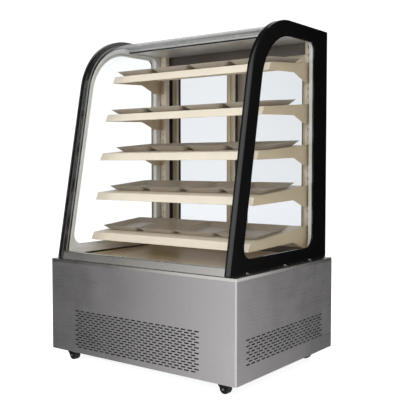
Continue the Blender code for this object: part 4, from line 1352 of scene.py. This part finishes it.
@dataclass
class RoofAndCanopy:
    """The roof pan, its front profiles, and the ceiling with its lamp."""

    half_width: float = 0.3955
    front_y: float = 0.064
    ceiling_z: float = 1.288
    lip_z: float = 1.284
    pocket_rear_y: float = 0.108
    pocket_top: float = 1.3035
    sheet: float = 0.0015
    edge_seal: float = 0.0095

    def build(self) -> None:
        """Builds the roof, the ceiling, the front profiles and the lamp."""
        self.build_roof()
        self.build_ceiling()
        self.build_lamp()

    def build_roof(self) -> None:
        """The roof: a folded pan with rounded edges and a shallow sunk field on top."""
        low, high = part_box("roof_panel")
        middle = (low + high) / 2
        half = (high - low) / 2
        sections = [(0.0, low.z), (0.0, high.z - self.edge_seal), (0.0, high.z - 0.0016), (0.0016, high.z),
                    (0.040, high.z), (0.0420, high.z - 0.0008), (0.060, high.z - 0.0008)]
        rings = [
            rectangle_ring(half.x - inset, half.y - inset, 0.003 + inset * 0.2, (middle.x, middle.y, z))
            for inset, z in sections
        ]
        under = [
            rectangle_ring(half.x - 0.060, half.y - 0.060, 0.015, (middle.x, middle.y, high.z - 0.0023)),
            rectangle_ring(half.x - self.sheet, half.y - self.sheet, 0.003,
                           (middle.x, middle.y, high.z - 0.0023)),
            rectangle_ring(half.x - self.sheet, half.y - self.sheet, 0.003, (middle.x, middle.y, low.z)),
        ]
        mesh = self.pan(rings, under)
        for face in mesh.polygons:
            if face.normal.y < -0.5 and face.center.z > high.z - self.edge_seal:
                face.material_index = 1
        add_piece("roof_pan", mesh, [DARK_ALUMINIUM, BLACK_PRINT],
                  stands_for=["roof_panel"])

    def pan(self, outside: list[Ring], inside: list[Ring]) -> bpy.types.Mesh:
        """A thin pan: its upper skin, its lower skin and the rim that joins them."""
        bm = bmesh.new()
        rows = [[bm.verts.new(point) for point in ring] for ring in outside + inside]
        count = len(rows[0])
        order = list(range(len(rows)))
        skins = [order[len(outside) - 1::-1], order[len(outside):]]
        for skin in skins:
            for first, second in zip(skin, skin[1:]):
                self.band(bm, rows[first], rows[second], count)
        self.band(bm, rows[0], rows[-1], count)
        bm.faces.new(rows[len(outside) - 1])
        bm.faces.new(rows[len(outside)])
        return finished(bm, "roof")

    @staticmethod
    def band(bm: bmesh.types.BMesh, first: list, second: list, count: int) -> None:
        """Faces between two rings of vertices."""
        for i in range(count):
            j = (i + 1) % count
            bm.faces.new((first[i], first[j], second[j], second[i]))

    def build_ceiling(self) -> None:
        """The folded ceiling sheet with its lamp pocket, and a dark drip seal on its lip."""
        path = [
            (self.front_y, self.lip_z),
            (self.front_y, self.pocket_top),
            (self.pocket_rear_y, self.pocket_top),
            (self.pocket_rear_y, self.ceiling_z),
            (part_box("rear_frame")[0].y - 0.001, self.ceiling_z),
        ]
        section = folded_sheet(path, self.sheet, 0.0018)
        span = (-self.half_width, self.half_width)
        mesh = prism("ceiling", [section], Plane.YZ, span)
        add_piece("ceiling_sheet", mesh, [CANOPY_ALUMINIUM], stands_for=["light_canopy"])
        lip = rectangle(self.front_y - 0.0021, self.front_y - 0.0001, self.lip_z - 0.0045,
                        self.lip_z + 0.0022, 0.0006)
        add_piece("canopy_drip_seal", prism("seal", [lip], Plane.YZ, span), [SEAL_RUBBER])
        band = rectangle(self.front_y - 0.0016, self.front_y - 0.0002, 1.2935, 1.3056, 0.0005)
        add_piece("canopy_front_band", prism("band", [band], Plane.YZ, span), [TRIM_STEEL])

    def build_lamp(self) -> None:
        """The lit tube with an end cap at each end."""
        low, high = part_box("lamp_tube")
        middle = (low + high) / 2
        radius = (high.z - low.z) / 2
        half = (high.x - low.x) / 2
        profile = [(0.0008, -half + 0.012), (radius, -half + 0.012), (radius, half - 0.012),
                   (0.0008, half - 0.012)]
        tube = turned("tube", profile, middle, "X", 32)
        add_piece("lamp_diffuser_tube", tube, [LAMP_OPAL], stands_for=["lamp_tube"])
        for side, sign in SIDES:
            ends = sorted((sign * half, sign * (half - 0.0118)))
            cap_profile = [(0.0008, ends[0]), (radius - 0.0006, ends[0]), (radius, ends[0] + 0.0008),
                           (radius, ends[1] - 0.0008), (radius - 0.0006, ends[1]), (0.0008, ends[1])]
            cap = turned("cap", cap_profile, middle, "X", 24)
            add_piece(f"lamp_cap_{side}", cap, [BLACK_PLASTIC])


# Shelves and trays

SHELF_FRONTS = (-0.184, -0.157, -0.129, -0.095, -0.048)
TRAY_SETBACKS = (0.046, 0.060, 0.070, 0.008, 0.000)


@dataclass
class ShelfTier:
    """One tilted shelf with its brackets and four flared trays."""

    tier: int
    front_y: float
    tray_setback: float
    first_z: float = 0.482
    pitch: float = 0.16425
    half_width: float = 0.390
    tilt: float = math.radians(5.0)
    rear_y: float = 0.236
    lip_rise: float = 0.030
    lip_lean: float = 0.014
    lip_return: float = 0.010
    sheet: float = 0.0015
    bracket: float = 0.002
    drop: float = 0.022
    upright_y: float = 0.272
    slot_x: float = 0.377
    slot_pitch: float = 0.03285
    trays: int = 4
    tray_depth: float = 0.245
    tray_height: float = 0.0195
    tray_flare: float = 0.022
    tray_wall: float = 0.0010

    @property
    def low_z(self) -> float:
        """Height of the lip's lower edge."""
        return self.first_z + self.tier * self.pitch

    def top_z(self, y: float) -> float:
        """Height of the shelf's upper face at a depth."""
        return self.low_z + self.lip_rise + (y - self.front_y - self.lip_lean) * math.tan(self.tilt)

    def build(self) -> None:
        """Builds the shelf, its brackets and its trays."""
        path = [
            (self.front_y + self.lip_return, self.low_z),
            (self.front_y, self.low_z),
            (self.front_y + self.lip_lean, self.top_z(self.front_y + self.lip_lean)),
            (self.rear_y, self.top_z(self.rear_y)),
            (self.rear_y, self.top_z(self.rear_y) - 0.018),
        ]
        half = self.half_width - self.bracket - 0.0003
        section = folded_sheet(path, self.sheet, 0.0022)
        mesh = prism("shelf", [section], Plane.YZ, (-half, half))
        add_piece(f"shelf_sheet_{self.tier + 1}", mesh, [CREAM_ENAMEL],
                  stands_for=[f"shelf_{self.tier + 1}"])
        for side, sign in SIDES:
            self.build_bracket(side, sign)
        for number in range(self.trays):
            self.build_tray(number)

    def build_bracket(self, side: str, sign: int) -> None:
        """A tapered side arm with a front tab, a rear flange and two hooks."""
        top_y = self.front_y + self.lip_lean
        end_y = self.upright_y - 0.0003
        arm = rounded([
            (self.front_y, self.low_z, 0.0015),
            (top_y, self.top_z(top_y), 0.0015),
            (end_y, self.top_z(end_y), 0.001),
            (end_y, self.low_z - self.drop, 0.002),
            (0.222, self.low_z - self.drop, 0.022),
            (0.137, self.low_z + 0.0090, 0.040),
        ], 5)
        outer = sign * self.half_width
        shapes = [prism("arm", [arm], Plane.YZ, (outer, outer - sign * self.bracket), 0.0004)]
        shapes.append(self.flange(sign, end_y))
        for lift in (0.0, self.slot_pitch):
            z = self.low_z - 0.008 + lift
            hook = rounded([(end_y - 0.001, z - 0.005, 0.001), (end_y + 0.0080, z - 0.0049, 0.001),
                            (end_y + 0.0080, z + 0.0045, 0.001), (end_y - 0.001, z + 0.005, 0.001)], 3)
            faces = (sign * self.slot_x - 0.001, sign * self.slot_x + 0.001)
            shapes.append(prism("hook", [hook], Plane.YZ, faces, 0.0003))
        name = f"shelf_bracket_{self.tier + 1}_{side}"
        # The arms wear the cream enamel darkened as painted shade.
        add_piece(f"bracket_arm_{self.tier + 1}_{side}", merged("bracket", shapes),
                  [SHADED_CREAM_ENAMEL] * len(shapes), stands_for=[name])

    def flange(self, sign: int, end_y: float) -> bpy.types.Mesh:
        """The bracket's rear flange, which lies on the upright."""
        span = sorted((sign * (self.slot_x - 0.004), sign * (self.half_width - 0.001)))
        face = rectangle(span[0], span[1], self.low_z - self.drop + 0.001, self.top_z(end_y) - 0.002, 0.002)
        return prism("flange", [face], Plane.XZ, (end_y - self.bracket, end_y), 0.0003)

    def build_tray(self, number: int) -> None:
        """One shallow flared tray, drawn from sheet with a turned rim."""
        width = (2 * self.half_width - 0.006) / self.trays
        x = -self.half_width + 0.003 + width * (number + 0.5)
        rim_y = self.front_y + self.lip_lean + self.tray_setback
        middle_y = rim_y + self.tray_depth * math.cos(self.tilt) / 2
        lift = 0.0006
        middle = Vector((x, middle_y - lift * math.sin(self.tilt),
                         self.top_z(middle_y) + lift * math.cos(self.tilt)))
        place = Matrix.Translation(middle) @ Matrix.Rotation(self.tilt, 4, "X")
        half = (width / 2 - 0.0006, self.tray_depth / 2)
        flare = self.tray_flare
        wall = self.tray_wall
        top = self.tray_height
        sections = [
            (flare + 0.0035, 0.0, 0.010), (flare, 0.0008, 0.012), (flare - 0.0016, 0.0022, 0.013),
            (0.0020, top - 0.0012, 0.016), (0.0005, top - 0.0006, 0.016), (0.0, top, 0.016),
            (0.0006, top + 0.0005, 0.016), (0.0026, top, 0.016), (flare - 0.0010, wall + 0.0026, 0.012),
            (flare + 0.0006, wall + 0.0010, 0.011), (flare + 0.0040, wall, 0.009),
        ]
        rings = []
        for inset, z, radius in sections:
            ring = rectangle_ring(half[0] - inset, half[1] - inset, radius, (0.0, 0.0, z))
            rings.append([place @ point for point in ring])
        mesh = loft("tray", rings, closed=False, sharp=60.0)
        add_piece(f"tray_{self.tier + 1}_{number + 1}", mesh, [TRAY_STEEL],
                  stands_for=[f"tray_row_{self.tier + 1}"])


@dataclass
class SlottedUpright:
    """A folded channel with a column of slots for the brackets' hooks."""

    side: str
    sign: int
    half_face: float = 0.015
    return_depth: float = 0.024
    sheet: float = 0.0015
    radius: float = 0.0020
    first_slot: float = 0.44115
    pitch: float = 0.03285
    slot: Point = (0.013, 0.004)

    def build(self) -> None:
        """Builds the channel as one folded sheet."""
        low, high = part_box(f"shelf_upright_{self.side}")
        start = self.half_face - self.radius
        reach = start + self.radius * math.pi / 2 + self.return_depth
        slots = []
        z = self.first_slot
        while z + self.slot[0] < high.z:
            flat = stadium(0.0, 0.0, *self.slot)
            slots.append([(v, z + u) for u, v in flat])
            z += self.pitch
        base = StainlessBase(sheet=self.sheet)
        sheet = rectangle(-reach, reach, low.z, high.z)
        bm = base.folded([sheet, *slots], [(-1, start, self.radius), (1, start, self.radius)])
        mesh = base.set_up("upright", bm, ((low.x + high.x) / 2, low.y, 0), (1, 0, 0), (0, 1, 0))
        add_piece(f"slotted_upright_{self.side}", mesh, [CREAM_ENAMEL],
                  stands_for=[f"shelf_upright_{self.side}"])


# Rear

@dataclass
class RearDoors:
    """The rear frame and its two sliding doors."""

    stile: float = 0.044
    half_thickness: float = 0.008
    groove: Point = (0.008, 0.005)
    edge: float = 0.0012
    glass: float = 0.005

    def build(self) -> None:
        """Dresses the frame and builds both doors."""
        dress_node("rear_frame", DARK_ALUMINIUM)
        for side, sign in SIDES:
            self.build_door(side, sign)

    def section(self, low: float, high: float, middle: float) -> Outline:
        """An extrusion's section: rounded edges and a groove down both faces.

        Args:
            low: Lower side across the width.
            high: Upper side across the width.
            middle: Middle of the thickness.

        Returns:
            The outline as (across, depth).
        """
        half_w, deep = self.groove[0] / 2, self.groove[1]
        centre = (low + high) / 2
        front = middle - self.half_thickness
        rear = middle + self.half_thickness
        edge = self.edge
        return rounded([
            (low, front, edge), (centre - half_w, front, 0.0006), (centre - half_w, front + deep, 0.0),
            (centre + half_w, front + deep, 0.0), (centre + half_w, front, 0.0006), (high, front, edge),
            (high, rear, edge), (centre + half_w, rear, 0.0006), (centre + half_w, rear - deep * 0.4, 0.0),
            (centre - half_w, rear - deep * 0.4, 0.0), (centre - half_w, rear, 0.0006), (low, rear, edge),
        ], 3)

    def build_door(self, side: str, sign: int) -> None:
        """One door: two stiles, two rails, a gasket, a pane and a finger pull."""
        low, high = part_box(f"door_frame_{side}")
        pane_low, pane_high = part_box(f"door_glass_{side}")
        middle = (pane_low.y + pane_high.y) / 2
        body = f"door_{side}"
        node = f"door_frame_{side}"
        stiles = ((low.x, low.x + self.stile), (high.x - self.stile, high.x))
        outer = 0 if sign < 0 else 1
        for index, span in enumerate(stiles):
            name = f"{body}_stile_{'outer' if index == outer else 'meeting'}"
            mesh = prism(name, [self.section(*span, middle)], Plane.XY, (low.z, high.z))
            add_piece(name, mesh, [DOOR_ALUMINIUM_Z], body, [node])
        inner = (stiles[0][1] + 0.0002, stiles[1][0] - 0.0002)
        for name, span in (("bottom", (low.z, pane_low.z - 0.0003)), ("top", (pane_high.z + 0.0003, high.z))):
            outline = [(depth, across) for across, depth in self.section(*span, middle)]
            mesh = prism(name, [outline], Plane.YZ, inner)
            add_piece(f"{body}_rail_{name}", mesh, [DOOR_ALUMINIUM_X], body, [node])
        self.build_pane(side, body, (pane_low, pane_high))
        self.build_pull(body, sign, middle, stiles[outer])

    def build_pane(self, side: str, body: str, span: tuple[Vector, Vector]) -> None:
        """The pane and the seal round it."""
        low, high = span
        outline = rectangle(low.x, high.x, low.z, high.z, 0.001)
        mesh = prism("pane", [outline], Plane.XZ, (low.y, high.y))
        add_piece(f"{body}_pane", mesh, [DOOR_GLASS], body, [f"door_glass_{side}"])
        wide = 0.005
        inside = rectangle(low.x + wide, high.x - wide, low.z + wide, high.z - wide, 0.002)
        for name, face, outward in (("front", low.y, -1), ("rear", high.y, 1)):
            faces = (face + outward * 0.0003, face + outward * 0.0020)
            seal = prism("seal", [outline, inside], Plane.XZ, faces, 0.0004)
            add_piece(f"{body}_seal_{name}", seal, [SEAL_RUBBER], body)

    def build_pull(self, body: str, sign: int, middle: float, stile: Point) -> None:
        """The finger pull: a long moulded cup on the outer stile."""
        x = sum(stile) / 2 + sign * 0.0053
        face = middle + self.half_thickness
        sections = [(0.0120, 0.0520, 0.0002), (0.0120, 0.0520, 0.0010), (0.0110, 0.0510, 0.0016),
                    (0.0095, 0.0495, 0.0012), (0.0085, 0.0485, 0.0003)]
        rings = []
        for half_x, half_z, proud in sections:
            flat = rectangle(-half_x, half_x, -half_z, half_z, half_x * 0.98)
            rings.append([Vector((x + u, face + proud, 0.8475 + v)) for u, v in flat])
        add_piece(f"{body}_pull", loft("pull", rings, closed=False), [BLACK_PLASTIC], body)


# Inside the base

@dataclass
class Refrigeration:
    """The parts inside the base, which keep the frame's own meshes."""

    def build(self) -> None:
        """Dresses each part."""
        dress_node("compressor", BLACK_ENAMEL)
        dress_node("condenser_coil", FIN_ALUMINIUM)
        dress_node("evaporator_coil", FIN_ALUMINIUM)
        dress_node("condenser_fan", BLACK_PLASTIC)


# Studio

@dataclass(frozen=True)
class SoftBox:
    """A large diffused lamp."""

    name: str
    place: tuple[float, float, float]
    target: tuple[float, float, float]
    size: Point
    watts: float
    colour: str = "#ffffff"

    def build(self) -> None:
        """Adds the lamp, which neither the camera nor reflections see."""
        data = bpy.data.lights.new(self.name, "AREA")
        data.shape = "RECTANGLE"
        data.size, data.size_y = self.size
        data.energy = self.watts
        data.color = linear(self.colour)[:3]
        lamp = bpy.data.objects.new(self.name, data)
        bpy.context.scene.collection.objects.link(lamp)
        lamp.location = self.place
        lamp.rotation_euler = (Vector(self.target) - Vector(self.place)).to_track_quat("-Z", "Y").to_euler()
        lamp.visible_camera = False
        lamp.visible_glossy = False


@dataclass
class Studio:
    """Pale floor, soft lamps, a backdrop and the camera.

    Reflections see a graded card and neither the lamps nor the floor. The card is graded for the
    main view, so bare steel reads paler or darker than there from other sides.
    """

    place: tuple[float, float, float] = (1.773, -2.322, 0.796)
    azimuth: float = math.radians(36.75)
    pitch: float = math.radians(2.86)
    lens: float = 65.0
    sensor: float = 36.0
    floor_half: float = 12.0
    backdrop: str = "#ffffff"
    ambient: str = "#a8a8aa"
    card_axis: tuple[float, float, float] = (0.814, -0.581, 0.0)
    card_right: Point = (-0.21, 0.09)
    card_left: Point = (-0.88, -0.62)
    card_dark: str = "#101011"
    backdrop_gain: float = 1.1
    card_light: str = "#ffffff"
    left_share: float = 0.8
    rear_fade: Point = (0.68, 0.88)
    rear_share: float = 0.2
    boxes: tuple[SoftBox, ...] = (
        SoftBox("key_front_left", (-1.25, -2.6, 1.0), (0.0, 0.0, 0.75), (1.5, 2.0), 24.0),
        SoftBox("front_right", (1.6, -2.6, 1.6), (0.0, 0.0, 0.6), (1.4, 1.4), 33.0),
        SoftBox("right_side", (3.2, 0.4, 1.3), (0.45, 0.0, 0.5), (1.6, 2.0), 3.0),
        SoftBox("overhead", (0.0, -0.2, 3.4), (0.0, 0.0, 0.0), (3.0, 3.0), 30.0),
        SoftBox("behind", (-0.6, 2.8, 2.2), (0.0, 0.0, 0.7), (2.2, 1.8), 18.0, "#fff6ec"),
    )

    def build(self) -> None:
        """Builds the studio."""
        self.build_floor()
        for lamp in self.boxes:
            lamp.build()
        self.build_world()
        self.build_camera()
        scene = bpy.context.scene
        scene.view_settings.view_transform = "Standard"
        scene.cycles.transparent_max_bounces = 32

    def build_floor(self) -> None:
        """A wide level floor."""
        half = self.floor_half
        mesh = bpy.data.meshes.new("floor")
        corners = [(-half, -half, 0), (half, -half, 0), (half, half, 0), (-half, half, 0)]
        mesh.from_pydata(corners, [], [(0, 1, 2, 3)])
        mesh.materials.append(PaleFloor("pale_studio_floor").material())
        floor = bpy.data.objects.new("studio_floor", mesh)
        bpy.context.scene.collection.objects.link(floor)
        floor.visible_glossy = False

    def build_world(self) -> None:
        """A white backdrop, an even fill, and a graded card that only sheens mirror."""
        world = bpy.data.worlds.new("studio")
        world.use_nodes = True
        tree = world.node_tree
        tree.nodes.clear()
        path = add_node(tree, "LightPath")
        fill = add_node(tree, "Mix", {"data_type": "RGBA"}, {
            0: path.outputs["Is Glossy Ray"], 6: linear(self.ambient), 7: self.mirrored_card(tree),
        })
        seen = add_node(tree, "Mix", {"data_type": "RGBA"}, {
            0: path.outputs["Is Camera Ray"], 6: fill.outputs[2], 7: linear(self.backdrop),
        })
        gain = add_node(tree, "MapRange", inputs={
            "Value": path.outputs["Is Camera Ray"], "To Min": 1.0, "To Max": self.backdrop_gain,
        })
        sky = add_node(tree, "Background", inputs={
            "Color": seen.outputs[2], "Strength": gain.outputs[0],
        })
        add_node(tree, "OutputWorld", inputs={"Surface": sky.outputs[0]})
        bpy.context.scene.world = world

    def mirrored_card(self, tree: bpy.types.NodeTree) -> bpy.types.NodeSocket:
        """What a sheen mirrors: a dark card between two bright ones, dimmer behind the case.

        Args:
            tree: Node tree of the world.

        Returns:
            The colour socket.
        """
        where = add_node(tree, "TexCoord").outputs["Generated"]
        across = add_node(tree, "VectorMath", {"operation": "DOT_PRODUCT"}, {0: where, 1: self.card_axis})
        depth = add_node(tree, "SeparateXYZ", inputs={0: where})
        place = across.outputs["Value"]
        right = self.smooth_step(tree, place, self.card_right, (0.0, 1.0))
        left = self.smooth_step(tree, place, self.card_left, (self.left_share, 0.0))
        behind = self.smooth_step(tree, depth.outputs["Y"], self.rear_fade, (1.0, self.rear_share))
        facing = add_node(tree, "Math", {"operation": "MULTIPLY"}, {0: right, 1: behind})
        either = add_node(tree, "Math", {"operation": "MAXIMUM"}, {0: facing.outputs[0], 1: left})
        card = add_node(tree, "Mix", {"data_type": "RGBA"}, {
            0: either.outputs[0], 6: linear(self.card_dark), 7: linear(self.card_light),
        })
        return card.outputs[2]

    @staticmethod
    def smooth_step(
        tree: bpy.types.NodeTree, value: bpy.types.NodeSocket, edges: Point, ends: Point
    ) -> bpy.types.NodeSocket:
        """A value moved smoothly from one end to the other between two edges."""
        return add_node(tree, "MapRange", {"interpolation_type": "SMOOTHSTEP"}, {
            "Value": value, "From Min": edges[0], "From Max": edges[1], "To Min": ends[0], "To Max": ends[1],
        }).outputs[0]

    def build_camera(self) -> None:
        """The camera, at eye height to the customer's right."""
        data = bpy.data.cameras.new("camera")
        data.lens = self.lens
        data.sensor_width = self.sensor
        camera = bpy.data.objects.new("camera", data)
        bpy.context.scene.collection.objects.link(camera)
        ahead = Vector((
            -math.sin(self.azimuth) * math.cos(self.pitch),
            math.cos(self.azimuth) * math.cos(self.pitch),
            -math.sin(self.pitch),
        ))
        camera.location = self.place
        camera.rotation_euler = ahead.to_track_quat("-Z", "Y").to_euler()
        bpy.context.scene.camera = camera


def main() -> None:
    """Builds the showcase and the studio, in order."""
    logging.basicConfig(level=logging.INFO, format="%(name)s: %(message)s")
    StainlessBase().build()
    RearControls().build()
    for tag in ("front_left", "front_right", "rear_left", "rear_right"):
        SwivelCaster(tag).build()
    for side, sign in SIDES:
        SidePanel(side, sign).build()
        SlottedUpright(side, sign).build()
    FrontGlazing().build()
    RoofAndCanopy().build()
    for tier, (front_y, setback) in enumerate(zip(SHELF_FRONTS, TRAY_SETBACKS)):
        ShelfTier(tier, front_y, setback).build()
    RearDoors().build()
    Refrigeration().build()
    Studio().build()


if __name__ == "__main__":
    main()
